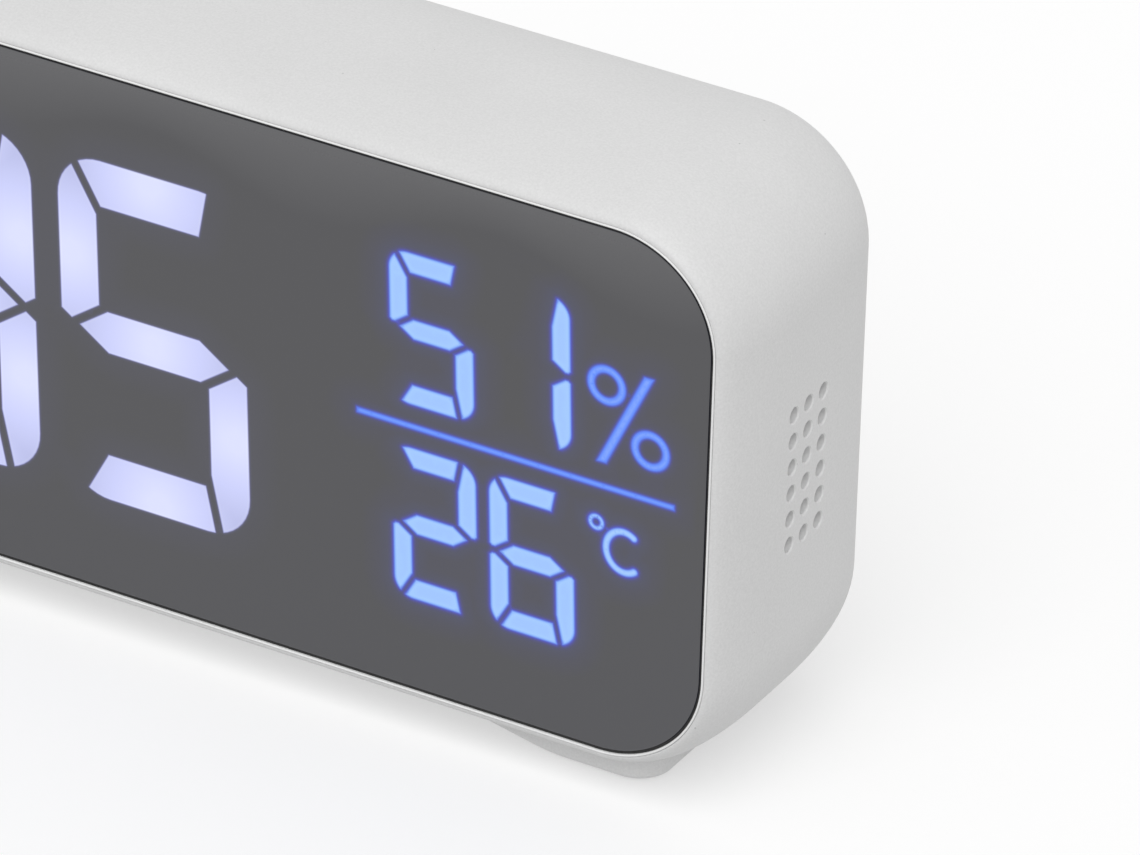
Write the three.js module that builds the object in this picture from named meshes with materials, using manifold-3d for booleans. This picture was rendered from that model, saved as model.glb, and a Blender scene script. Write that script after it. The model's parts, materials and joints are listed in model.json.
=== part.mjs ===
// A table alarm clock with a half-mirror front, lit digits, and keys and a battery bay at the back.
// Units are millimetres. X runs to the viewer's right, the front faces -Y and Z is up.
// Pieces are drawn in the case frame: x and z from the middle of the panel, y from the panel's face
// towards the back. The group at the end moves that frame so that the clock stands on z = 0.

import * as THREE from 'three';
import { mergeVertices } from 'three/addons/utils/BufferGeometryUtils.js';
import Module from 'manifold-3d';

const wasm = await Module();
wasm.setup();

// Display: four large digits with a colon, then two rows of small digits with their units
const DIGIT_W = 26.0;
const DIGIT_H = 45.6;
const DIGIT_STROKE = 5.6;
const DIGIT_CORNER = 5.2;
const DIGIT_GAP = 3.5;
const DIGIT_CUT = 1.15;
const COLON_W = 9.5;
const COLON_DOT = 5.0;
const COLON_RISE = 9.0;
const SMALL_W = 11.5;
const SMALL_H = 20.35;
const SMALL_STROKE = 2.55;
const SMALL_CORNER = 2.35;
const SMALL_GAP = 1.7;
const SMALL_CUT = 0.75;
const SMALL_INDENT = 4.6;
const ROW_GAP = 2.83;
const UNIT_ROOM = 13.0;
const DIVIDER_T = 1.0;
const BLOCK_GAP = 15.2;
const SIGN_RING_R = 2.5;
const SIGN_RING_X = 2.9;
const SIGN_RING_Z = 3.46;
const SIGN_SLASH_W = 1.3;
const SIGN_SLASH_H = 13.0;
const SIGN_SLASH_RUN = 6.2;
const SIGN_INSET = 5.4;
const SIGN_FOOT = 0.87;
const DEGREE_R = 1.3;
const DEGREE_INSET = 9.6;
const LETTER_W = 4.6;
const LETTER_H = 6.2;
const LETTER_INSET = 6.4;
const LETTER_HEAD = 2.07;
const DISPLAY_RISE = 0.57;
const DISPLAY_LEAN = THREE.MathUtils.degToRad(2.5);

// Cuts between segments, as shares of the stroke: slanted at the left, steep at the right
const LEFT_CUT = 0.3;
const RIGHT_CUT = 0.78;
const MIDDLE_CUT = 0.24;
const MIDDLE_RISE = 0.55;

// Front panel and the margins of dark glass around the display
const LEFT_MARGIN = 7.0;
const RIGHT_MARGIN = 5.0;
const TOP_MARGIN = 11.82;
const PANEL_R = 13.6;
const PANEL_T = 2.0;
const PANEL_CLEAR = 0.3;
const PANEL_RECESS = 0.2;
const TAPE_T = 0.4;
const TAPE_W = 2.2;
const TAPE_INSET = 0.3;
const TAPE_LAND = 0.5;

// Case: a moulded sleeve whose sides swell between the front rim and the rear rim
const CASE_D = 35.7;
const CASE_BULGE = 2.9;
const CASE_EDGE = 14.0;
const RIM_LAND = 0.2;
const LEDGE_T = 2.0;
const LEDGE_TOP = 5.0;
const WINDOW_R = 9.0;
const CORNER_BOSS_R = 3.5;
const BOSS_WEB_T = 1.6;
const BOSS_ROOT = 0.5;
const FOOT_H = 2.0;
const FOOT_FLAT = 13.5;
const FOOT_RAMP = 12.5;
const FOOT_RAMP_RISE = 3.0;
const FOOT_INSET = 8.3;
const FOOT_SETBACK = 3.8;
const FOOT_R = 4.3;
const FOOT_ROOT = 0.8;
const PAD_R = 4.0;
const PAD_T = 1.0;
const PAD_SINK = 0.5;
const PAD_SETBACK = 6.5;
const VENT_D = 2.0;
const VENT_PITCH = 3.5;
const VENT_COLUMNS = 3;
const VENT_ROWS = 6;

// Display stack behind the panel
const FILM_T = 0.3;
const FILM_GAP = 0.2;
const REFLECTOR_T = 6.5;
const REFLECTOR_RIM = 2.8;
const REFLECTOR_CORNER = 6.0;
const BOARD_T = 1.6;
const BOARD_INSET = 3.3;
const BOARD_SCREW_X = 50.0;
const BOARD_BOSS_R = 2.5;
const LED_W = 1.0;
const LED_H = 0.5;
const LED_T = 0.7;

// Rear cover, its screws and the posts for the main board
const COVER_T = 2.0;
const COVER_RECESS = 0.2;
const CUP_WALL = 1.5;
const CUP_CLEAR = 0.7;
const CUP_FLOOR = 1.6;
const SCREW_SINK = 3.4;
const POST_R = 2.6;
const SCREW_HEAD_R = 2.4;
const SCREW_HEAD_T = 1.5;
const SCREW_DOME = 0.5;
const SCREW_SHANK_R = 1.1;
const COVER_SCREW_L = 10.0;
const BOARD_SCREW_L = 6.0;

// Keys with their switches
const KEY_NAMES = ['mode', 'set', 'up', 'down', 'alarm'];
const KEY_PITCH = 18.0;
const KEY_W = 10.0;
const KEY_H = 5.0;
const KEY_PROUD = 0.8;
const KEY_FLANGE_T = 1.5;
const KEY_FLANGE_RIM = 1.2;
const KEY_STEM_R = 2.2;
const KEY_STEM_L = 2.0;
const KEY_TRAVEL = 0.8;
const SWITCH_W = 6.0;
const SWITCH_H = 3.8;
const PLUNGER_R = 1.7;
const PLUNGER_PROUD = 1.6;
const PLUNGER_HIDDEN = 1.4;

// Battery bay with three cells, its contacts and its door
const CELL_R = 5.25;
const CELL_L = 43.7;
const CELL_NUB_R = 1.9;
const CELL_NUB_L = 0.8;
const CELL_COUNT = 3;
const CELL_GAP = 0.7;
const CONTACT_T = 0.4;
const CONTACT_BUMP = 1.6;
const CONTACT_BUMP_R = 2.6;
const CONTACT_TIP_R = 1.3;
const CONTACT_W = 8.0;
const BAY_EDGE = 1.2;
const BAY_Z = -8.0;
const TRAY_WALL = 2.5;
const TRAY_FLOOR = 1.5;
const DOOR_T = 1.8;
const DOOR_SEAT = 1.2;
const TAB_W = 6.0;
const TAB_T = 1.2;
const TAB_REACH = 1.8;
const TAB_ROOT = 3.0;
const TAB_X = 16.0;
const SCOOP_R = 7.0;
const SCOOP_DEPTH = 0.8;
const SCOOP_W = 14.0;
const SCOOP_EDGE = 5.0;

// Main board and what stands on it
const LEG_W = 42.0;
const LEG_DROP = 36.0;
const LEG_GAP = 3.0;
const STRIP_GAP = 2.5;
const STRIP_H = 13.0;
const STRIP_END = 14.0;
const POST_EDGE = 3.5;
const CHIP_W = 8.0;
const CHIP_T = 1.2;
const CHIP_DROP = 25.0;
const BUZZER_R = 6.0;
const BUZZER_GAP = 1.2;
const BUZZER_HOLE_L = 4.0;
const BUZZER_HOLE_R = 1.0;
const BUZZER_DROP = 11.0;
const SLOT_W = 1.2;
const SLOT_L = 9.0;
const SLOT_PITCH = 2.4;
const SLOT_COUNT = 4;
const USB_W = 9.0;
const USB_H = 3.2;
const USB_WALL = 0.35;
const USB_DEPTH = 6.5;
const USB_SINK = 0.4;
const USB_TONGUE_W = 6.6;
const USB_TONGUE_T = 0.7;
const USB_TONGUE_L = 4.6;
const USB_DROP = 29.0;
const PORT_INSET = 14.0;
const FLEX_W = 10.0;
const FLEX_T = 0.3;
const FLEX_LEG = 8.0;
const FLEX_INSET = 12.0;
const SOCKET_T = 2.2;
const SOCKET_H = 4.0;
const SOCKET_RIM = 2.0;

// Climate sensor behind the vents, and the touch foil under the top
const SENSOR_T = 2.4;
const SENSOR_MARGIN = 1.2;
const RAIL_T = 1.5;
const RAIL_REACH = 3.0;
const FOIL_T = 0.2;
const FOIL_W = 40.0;
const FOIL_D = 16.0;
const FOIL_START = 3.0;
const TAIL_W = 5.0;
const TAIL_DROP = 6.0;

// Clearance between pieces that were cut from each other or slide past each other
const FIT = 0.3;

// Corners nearer to each other than this are one corner
const WELD = 1e-4;

// Sides of small holes and of larger rounds, and steps along the case's swelling edges
const HOLE_SIDES = 10;
const ROUND_SIDES = 16;
const EDGE_STEPS = 5;

// Steps of arcs in large and small outlines and in light wells: a quarter of a circle has twice as many
const ARC_STEPS = 3;
const SMALL_STEPS = 2;
const WELL_STEPS = 1;
const cornerSteps = 2 * ARC_STEPS;

// Sizes that follow from the ones above
const displayHalf = Math.max(DIGIT_H / 2, ROW_GAP + SMALL_H);
const digitPair = 2 * DIGIT_W + DIGIT_GAP;
const largeBlock = 2 * digitPair + COLON_W;
const dividerL = SMALL_INDENT + 2 * SMALL_W + SMALL_GAP + UNIT_ROOM;
const panelW = LEFT_MARGIN + largeBlock + BLOCK_GAP + dividerL + RIGHT_MARGIN;
const panelH = 2 * (displayHalf + TOP_MARGIN);
const boreW = panelW + 2 * PANEL_CLEAR;
const boreH = panelH + 2 * PANEL_CLEAR;
const boreR = PANEL_R + PANEL_CLEAR;
const rimHalfW = boreW / 2 + RIM_LAND;
const rimHalfH = boreH / 2 + RIM_LAND;
const rimR = boreR + RIM_LAND;
const bellyHalfH = rimHalfH + CASE_BULGE;
const bellyHalfW = rimHalfW + CASE_BULGE;
const edgeDepth = Math.min(CASE_EDGE, CASE_D / 2);
const ledgeSide = TAPE_INSET + TAPE_W + TAPE_LAND;
const pilotR = SCREW_SHANK_R + FIT;
const headHoleR = SCREW_HEAD_R + FIT;
const cupR = headHoleR + CUP_WALL;
const bossOffset = boreR - CUP_CLEAR - cupR;
const cornerX = panelW / 2 - PANEL_R;
const cornerZ = panelH / 2 - PANEL_R;

const reflectorW = panelW - 2 * ledgeSide - 2 * FIT;
const reflectorH = 2 * (displayHalf + REFLECTOR_RIM);
const boardW = boreW - 2 * BOARD_INSET;
const boardH = boreH - 2 * BOARD_INSET;

// Places along the depth, from the panel's face
const frontRim = -PANEL_RECESS;
const rearRim = CASE_D - PANEL_RECESS;
const midDepth = (frontRim + rearRim) / 2;
const ledgeFront = PANEL_T + TAPE_T;
const ledgeBack = ledgeFront + LEDGE_T;
const filmFront = PANEL_T + FILM_GAP;
const filmBack = filmFront + FILM_T;
const displayFront = filmBack + REFLECTOR_T;
const displayBack = displayFront + BOARD_T;
const coverOuter = rearRim - COVER_RECESS;
const coverInner = coverOuter - COVER_T;
const headSeat = coverOuter - SCREW_SINK;
const cupEnd = headSeat - CUP_FLOOR;
const keyTop = coverOuter + KEY_PROUD;
const flangeTop = coverInner - FIT;
const flangeBottom = flangeTop - KEY_FLANGE_T;
const plungerTop = flangeBottom - KEY_STEM_L;
const switchTop = plungerTop - PLUNGER_PROUD;
const plungerBottom = switchTop - PLUNGER_HIDDEN;
const mainBack = switchTop - SWITCH_H;
const mainFront = mainBack - BOARD_T;
const doorInner = coverOuter - DOOR_T;
const cellY = doorInner - FIT - CELL_R;
const bayFloor = cellY - CELL_R - FIT;

// Places across the back
const cellPitch = 2 * CELL_R + CELL_GAP;
const contactRoom = CONTACT_T + CONTACT_BUMP + FIT;
const bayHalfX = (CELL_L + CELL_NUB_L) / 2 + contactRoom;
const bayHalfZ = (CELL_COUNT * cellPitch - CELL_GAP) / 2 + BAY_EDGE;
const trayHalfX = bayHalfX + TRAY_WALL;
const trayHalfZ = bayHalfZ + TRAY_WALL;
const doorHalfX = bayHalfX + DOOR_SEAT;
const doorHalfZ = bayHalfZ + DOOR_SEAT;
const hingeY = doorInner + DOOR_T / 2;
const hingeZ = BAY_Z - doorHalfZ + DOOR_T / 2;
const keyZ = BAY_Z + trayHalfZ + STRIP_GAP + STRIP_H / 2;
const stripLeft = -(KEY_PITCH * (KEY_NAMES.length - 1)) / 2 - STRIP_END;
const stripTop = keyZ + STRIP_H / 2;
const stripBottom = keyZ - STRIP_H / 2;
const legLeft = trayHalfX + LEG_GAP;
const legRight = legLeft + LEG_W;
const legBottom = stripBottom - LEG_DROP;
const portX = legLeft + PORT_INSET;

// Finishes
function finish(color, roughness, metalness = 0, opacity = 1) {
  return new THREE.MeshStandardMaterial({
    color,
    roughness,
    metalness,
    opacity,
    transparent: opacity < 1,
    flatShading: true,
  });
}

const whitePlastic = finish(0xe6e6e6, 0.6);
const smokedMirror = finish(0x2a2b2e, 0.06, 0.3, 0.45);
const blackFoam = finish(0x1a1a1a, 0.95);
const clearFilm = finish(0xf2f4ff, 0.4, 0, 0.4);
const darkPlastic = finish(0x202124, 0.7);
const greenBoard = finish(0x1f5a36, 0.55);
const keyPlastic = finish(0xdcdcdc, 0.55);
const switchBlack = finish(0x161616, 0.6);
const plungerBrown = finish(0x3a2b22, 0.6);
const plainSteel = finish(0xb4b6b8, 0.35, 0.9);
const cellJacket = finish(0x3f5f86, 0.4, 0.3);
const flexWhite = finish(0xd8dce2, 0.5);
const copperFoil = finish(0xb87a4b, 0.4, 0.9);
const rubberGrey = finish(0x55575a, 0.9);

// Solids: geometry in, closed solid out
function solid(geometry) {
  const bare = geometry.index ? geometry.toNonIndexed() : geometry.clone();
  bare.deleteAttribute('normal');
  bare.deleteAttribute('uv');
  const merged = mergeVertices(bare, WELD);
  const corners = [];
  const index = merged.index.array;
  for (let i = 0; i < index.length; i += 3) {
    const [a, b, c] = [index[i], index[i + 1], index[i + 2]];
    if (a !== b && b !== c && c !== a) {
      corners.push(a, b, c);
    }
  }
  const mesh = new wasm.Mesh({
    numProp: 3,
    vertProperties: new Float32Array(merged.attributes.position.array),
    triVerts: new Uint32Array(corners),
  });
  return new wasm.Manifold(mesh);
}

function fuse(solids) {
  return solids.reduce((whole, next) => whole.add(next));
}

function cut(whole, tools) {
  return tools.reduce((rest, tool) => rest.subtract(tool), whole);
}

function piece(name, material, whole) {
  const result = whole.getMesh();
  const geometry = new THREE.BufferGeometry();
  geometry.setAttribute('position', new THREE.BufferAttribute(result.vertProperties, 3));
  geometry.setIndex(new THREE.BufferAttribute(result.triVerts, 1));
  geometry.computeVertexNormals();
  const mesh = new THREE.Mesh(geometry, material);
  mesh.name = name;
  return mesh;
}

// Prisms of a flat outline, along each axis
const alongX = new THREE.Matrix4().makeBasis(
  new THREE.Vector3(0, 1, 0),
  new THREE.Vector3(0, 0, 1),
  new THREE.Vector3(1, 0, 0),
);
const alongY = new THREE.Matrix4().makeBasis(
  new THREE.Vector3(1, 0, 0),
  new THREE.Vector3(0, 0, 1),
  new THREE.Vector3(0, -1, 0),
);

function extrude(shape, length, steps) {
  const options = { depth: length, bevelEnabled: false, curveSegments: steps };
  return new THREE.ExtrudeGeometry(shape, options);
}

// The outline is drawn in x and z
function prismY(shape, y0, y1, steps = ARC_STEPS) {
  return extrude(shape, y1 - y0, steps).applyMatrix4(alongY).translate(0, y1, 0);
}

// The outline is drawn in y and z
function prismX(shape, x0, x1, steps = ARC_STEPS) {
  return extrude(shape, x1 - x0, steps).applyMatrix4(alongX).translate(x0, 0, 0);
}

// The outline is drawn in x and y
function prismZ(shape, z0, z1, steps = ARC_STEPS) {
  return extrude(shape, z1 - z0, steps).translate(0, 0, z0);
}

function box(x0, x1, y0, y1, z0, z1) {
  const geometry = new THREE.BoxGeometry(x1 - x0, y1 - y0, z1 - z0);
  return geometry.translate((x0 + x1) / 2, (y0 + y1) / 2, (z0 + z1) / 2);
}

function rodY(radius, y0, y1, x, z, sides = HOLE_SIDES) {
  const geometry = new THREE.CylinderGeometry(radius, radius, y1 - y0, sides);
  return geometry.translate(x, (y0 + y1) / 2, z);
}

function rodX(radius, x0, x1, y, z, sides = HOLE_SIDES) {
  const geometry = new THREE.CylinderGeometry(radius, radius, x1 - x0, sides);
  return geometry.rotateZ(Math.PI / 2).translate((x0 + x1) / 2, y, z);
}

function rodZ(radius, z0, z1, x, y, sides = HOLE_SIDES) {
  const geometry = new THREE.CylinderGeometry(radius, radius, z1 - z0, sides);
  return geometry.rotateX(Math.PI / 2).translate(x, y, (z0 + z1) / 2);
}

function polygon(points) {
  return new THREE.Shape(points.map(([u, v]) => new THREE.Vector2(u, v)));
}

function roundedRect(width, height, radius, u = 0, v = 0) {
  const shape = new THREE.Shape();
  const du = width / 2 - radius;
  const dv = height / 2 - radius;
  const quarter = Math.PI / 2;
  shape.absarc(u + du, v + dv, radius, 0, quarter);
  shape.absarc(u - du, v + dv, radius, quarter, 2 * quarter);
  shape.absarc(u - du, v - dv, radius, 2 * quarter, 3 * quarter);
  shape.absarc(u + du, v - dv, radius, 3 * quarter, 4 * quarter);
  return shape;
}

// The four corners of the case, as signs of x and z
const corners = [[1, 1], [-1, 1], [-1, -1], [1, -1]];

function bossAt([sx, sz]) {
  const reach = bossOffset * Math.SQRT1_2;
  return [sx * (cornerX + reach), sz * (cornerZ + reach)];
}

function boardScrewAt([sx, sz]) {
  return [sx * BOARD_SCREW_X, (sz * (reflectorH + boardH)) / 4];
}

// Case body: rings of one rounded outline, drawn in at both ends by a quarter of an ellipse
function bodyRing(swell, y) {
  const points = [];
  const radius = rimR + swell;
  const centres = [[cornerX, cornerZ], [-cornerX, cornerZ], [-cornerX, -cornerZ], [cornerX, -cornerZ]];
  centres.forEach(([x, z], corner) => {
    for (let i = 0; i <= cornerSteps; i += 1) {
      const angle = (corner + i / cornerSteps) * (Math.PI / 2);
      points.push([x + radius * Math.cos(angle), y, z + radius * Math.sin(angle)]);
    }
  });
  return points;
}

function caseBody() {
  const rings = [];
  for (let i = 0; i <= EDGE_STEPS; i += 1) {
    const turn = (i / EDGE_STEPS) * (Math.PI / 2);
    const depth = edgeDepth * (1 - Math.cos(turn));
    rings.push(bodyRing(CASE_BULGE * Math.sin(turn), frontRim + depth));
  }
  for (let i = EDGE_STEPS; i >= 0; i -= 1) {
    const turn = (i / EDGE_STEPS) * (Math.PI / 2);
    const depth = edgeDepth * (1 - Math.cos(turn));
    rings.push(bodyRing(CASE_BULGE * Math.sin(turn), rearRim - depth));
  }
  const count = rings[0].length;
  const index = [];
  for (let r = 0; r + 1 < rings.length; r += 1) {
    for (let i = 0; i < count; i += 1) {
      const j = (i + 1) % count;
      const [a, b, c, d] = [r * count + i, r * count + j, (r + 1) * count + j, (r + 1) * count + i];
      index.push(a, c, b, a, d, c);
    }
  }
  const last = (rings.length - 1) * count;
  for (let i = 1; i + 1 < count; i += 1) {
    index.push(0, i, i + 1);
    index.push(last, last + i + 1, last + i);
  }
  const geometry = new THREE.BufferGeometry();
  geometry.setAttribute('position', new THREE.Float32BufferAttribute(rings.flat(2), 3));
  geometry.setIndex(index);
  return geometry;
}

// One foot under the case: flat below, sloped at its inner end, rounded in plan
const footBottom = -(bellyHalfH + FOOT_H);
const footOuter = panelW / 2 - FOOT_INSET;
const footFront = frontRim + FOOT_SETBACK;
const footRear = rearRim - FOOT_SETBACK;

function foot(side) {
  const length = FOOT_FLAT + FOOT_RAMP;
  const middle = side * (footOuter - length / 2);
  const plan = roundedRect(length, footRear - footFront, FOOT_R, middle, (footFront + footRear) / 2);
  const block = solid(prismZ(plan, footBottom, -(boreH / 2 + FOOT_ROOT)));
  const heel = footOuter - FOOT_FLAT;
  const tip = heel - FOOT_RAMP;
  const slope = polygon([
    [side * heel, footBottom],
    [side * tip, footBottom + FOOT_RAMP_RISE],
    [side * (tip - FOOT_RAMP), footBottom + 2 * FOOT_RAMP_RISE],
    [side * (tip - FOOT_RAMP), footBottom - FOOT_H],
    [side * heel, footBottom - FOOT_H],
  ]);
  return block.subtract(solid(prismY(slope, footFront - FOOT_SETBACK, footRear + FOOT_SETBACK)));
}

function padPlaces() {
  const x = footOuter - FOOT_FLAT / 2;
  const places = [];
  for (const side of [-1, 1]) {
    places.push([side * x, footFront + PAD_SETBACK]);
    places.push([side * x, footRear - PAD_SETBACK]);
  }
  return places;
}

// Vent holes in the right side, and the rails that hold the sensor behind them
const ventHalfY = ((VENT_COLUMNS - 1) * VENT_PITCH) / 2;
const ventHalfZ = ((VENT_ROWS - 1) * VENT_PITCH) / 2;
const sensorHalfY = ventHalfY + VENT_D / 2 + SENSOR_MARGIN;
const sensorHalfZ = ventHalfZ + VENT_D / 2 + SENSOR_MARGIN;

function vents() {
  const holes = [];
  for (let column = 0; column < VENT_COLUMNS; column += 1) {
    for (let row = 0; row < VENT_ROWS; row += 1) {
      const y = midDepth - ventHalfY + column * VENT_PITCH;
      const z = -ventHalfZ + row * VENT_PITCH;
      holes.push(solid(rodX(VENT_D / 2, boreW / 2 - RAIL_T, bellyHalfW + RAIL_T, y, z, HOLE_SIDES)));
    }
  }
  return holes;
}

function sensorRails() {
  return [-1, 1].map((side) => {
    const near = sensorHalfZ + FIT;
    const far = near + RAIL_T;
    const [z0, z1] = side > 0 ? [near, far] : [-far, -near];
    const y0 = midDepth - sensorHalfY;
    const y1 = midDepth + sensorHalfY;
    return solid(box(boreW / 2 - RAIL_REACH, boreW / 2 + BOSS_ROOT, y0, y1, z0, z1));
  });
}

function cornerBoss(corner) {
  const [x, z] = bossAt(corner);
  const column = solid(rodY(CORNER_BOSS_R, ledgeFront + BOSS_ROOT, cupEnd, x, z, ROUND_SIDES));
  const length = boreR + BOSS_ROOT - bossOffset;
  const web = box(0, length, ledgeFront + BOSS_ROOT, cupEnd, -BOSS_WEB_T / 2, BOSS_WEB_T / 2);
  web.rotateY(-Math.atan2(corner[1], corner[0])).translate(x, 0, z);
  return column.add(solid(web));
}

function boardBoss(corner) {
  const [x, z] = boardScrewAt(corner);
  const root = ledgeFront + BOSS_ROOT;
  const wall = corner[1] * (boreH / 2 + BOSS_ROOT);
  const column = solid(rodY(BOARD_BOSS_R, root, displayFront, x, z, ROUND_SIDES));
  const [z0, z1] = [Math.min(z, wall), Math.max(z, wall)];
  return column.add(solid(box(x - BOSS_WEB_T / 2, x + BOSS_WEB_T / 2, root, displayFront, z0, z1)));
}

function caseShell() {
  const body = solid(caseBody());
  const opening = roundedRect(boreW, boreH, boreR);
  const windowShape = roundedRect(panelW - 2 * ledgeSide, panelH - 2 * LEDGE_TOP, WINDOW_R);
  const hollow = cut(body, [
    solid(prismY(opening, frontRim - LEDGE_T, ledgeFront)),
    solid(prismY(windowShape, frontRim, ledgeBack + LEDGE_T)),
    solid(prismY(opening, ledgeBack, rearRim + LEDGE_T)),
  ]);
  const cornerBosses = corners.map(cornerBoss);
  const feet = [foot(-1), foot(1)];
  const boardBosses = corners.map(boardBoss);
  const whole = fuse([hollow, ...cornerBosses, ...boardBosses, ...sensorRails(), ...feet]);
  const pilots = corners.flatMap((corner) => {
    const [bossX, bossZ] = bossAt(corner);
    const [screwX, screwZ] = boardScrewAt(corner);
    return [
      solid(rodY(pilotR, headSeat - COVER_SCREW_L - FIT, rearRim, bossX, bossZ)),
      solid(rodY(pilotR, displayBack - BOARD_SCREW_L - FIT, displayBack, screwX, screwZ)),
    ];
  });
  const padSeats = padPlaces().map(([x, y]) => {
    return solid(rodZ(PAD_R + FIT, footBottom - PAD_T, footBottom + PAD_SINK, x, y, ROUND_SIDES));
  });
  return cut(whole, [...vents(), ...pilots, ...padSeats]);
}

// Display artwork: the outlines of the lit areas, as prisms that cut the light wells
const leanMatrix = new THREE.Matrix4().set(
  1, 0, -Math.tan(DISPLAY_LEAN), 0,
  0, 1, 0, 0,
  0, 0, 1, 0,
  0, 0, 0, 1,
);

// The middle of the cut between two segments: a slanted line, asked for on its left or right side
function slantedCut([x0, z0], [x1, z1], width) {
  const slope = (x1 - x0) / (z1 - z0);
  const shift = (width / 2) * Math.hypot(1, slope);
  return {
    x: (z, side) => x0 + (z - z0) * slope + side * shift,
    z: (x, side) => z0 + (x - side * shift - x0) / slope,
  };
}

function segmentOutlines(width, height, stroke, gap) {
  const w = width / 2;
  const h = height / 2;
  const upperLeft = slantedCut([-w + stroke, h - stroke], [-w + LEFT_CUT * stroke, h], gap);
  const upperRight = slantedCut([w - stroke, h - stroke], [w - RIGHT_CUT * stroke, h], gap);
  const rise = MIDDLE_RISE * stroke;
  const midLeft = slantedCut([-w + MIDDLE_CUT * stroke, 0], [-w + stroke, rise], gap);
  const midRight = slantedCut([w - MIDDLE_CUT * stroke, 0], [w - stroke, rise], gap);
  const bar = h - stroke;
  const half = stroke / 2;
  const top = [
    [upperLeft.x(bar, 1), bar],
    [upperRight.x(bar, -1), bar],
    [upperRight.x(h, -1), h],
    [upperLeft.x(h, 1), h],
  ];
  const leftSide = [
    [-w, gap / 2],
    [midLeft.x(gap / 2, -1), gap / 2],
    [-w + stroke, midLeft.z(-w + stroke, -1)],
    [-w + stroke, upperLeft.z(-w + stroke, -1)],
    [upperLeft.x(h, -1), h],
    [-w, h],
  ];
  const rightSide = [
    [w, gap / 2],
    [w, h],
    [upperRight.x(h, 1), h],
    [w - stroke, upperRight.z(w - stroke, 1)],
    [w - stroke, midRight.z(w - stroke, 1)],
    [midRight.x(gap / 2, 1), gap / 2],
  ];
  const middle = [
    [midLeft.x(0, 1), 0],
    [midLeft.x(half, 1), -half],
    [midRight.x(half, -1), -half],
    [midRight.x(0, -1), 0],
    [midRight.x(half, -1), half],
    [midLeft.x(half, 1), half],
  ];
  const below = (outline) => outline.map(([x, z]) => [x, -z]);
  return [top, rightSide, below(rightSide), below(top), below(leftSide), leftSide, middle];
}

// Centres of the digits and signs, in the upright artwork
const dividerRight = panelW / 2 - RIGHT_MARGIN;
const dividerLeft = dividerRight - dividerL;
const rowRise = ROW_GAP + SMALL_H / 2;

function largeDigitPlaces() {
  const first = -panelW / 2 + LEFT_MARGIN + DIGIT_W / 2;
  const second = first + DIGIT_W + DIGIT_GAP;
  const third = second + DIGIT_W + COLON_W;
  const fourth = third + DIGIT_W + DIGIT_GAP;
  return [first, second, third, fourth];
}

function smallDigitPlaces() {
  const first = dividerLeft + SMALL_INDENT + SMALL_W / 2;
  const second = first + SMALL_W + SMALL_GAP;
  return [[first, rowRise], [second, rowRise], [first, -rowRise], [second, -rowRise]];
}

function artPrism(shape, steps = WELL_STEPS) {
  const geometry = prismY(shape, filmBack - FIT, displayFront + FIT, steps);
  return geometry.applyMatrix4(leanMatrix).translate(0, 0, DISPLAY_RISE);
}

function middleOf(outline, x, z) {
  const sum = outline.reduce(([u, v], [a, b]) => [u + a, v + b], [0, 0]);
  const upright = [x + sum[0] / outline.length, z + sum[1] / outline.length];
  return [upright[0] - upright[1] * Math.tan(DISPLAY_LEAN), upright[1] + DISPLAY_RISE];
}

const wells = [];
const lamps = [];

function addDigit(x, z, width, height, stroke, corner, gap) {
  const limit = solid(artPrism(roundedRect(width, height, corner, x, z)));
  for (const outline of segmentOutlines(width, height, stroke, gap)) {
    const placed = outline.map(([u, v]) => [x + u, z + v]);
    wells.push(solid(artPrism(polygon(placed))).intersect(limit));
    lamps.push(middleOf(outline, x, z));
  }
}

function addSpot(radius, x, z) {
  const disc = new THREE.Shape().absarc(x, z, radius, 0, 2 * Math.PI);
  wells.push(solid(artPrism(disc, ROUND_SIDES / 2)));
  lamps.push(middleOf([[0, 0]], x, z));
}

function addOutline(outline) {
  wells.push(solid(artPrism(polygon(outline))));
  lamps.push(middleOf(outline, 0, 0));
}

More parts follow.
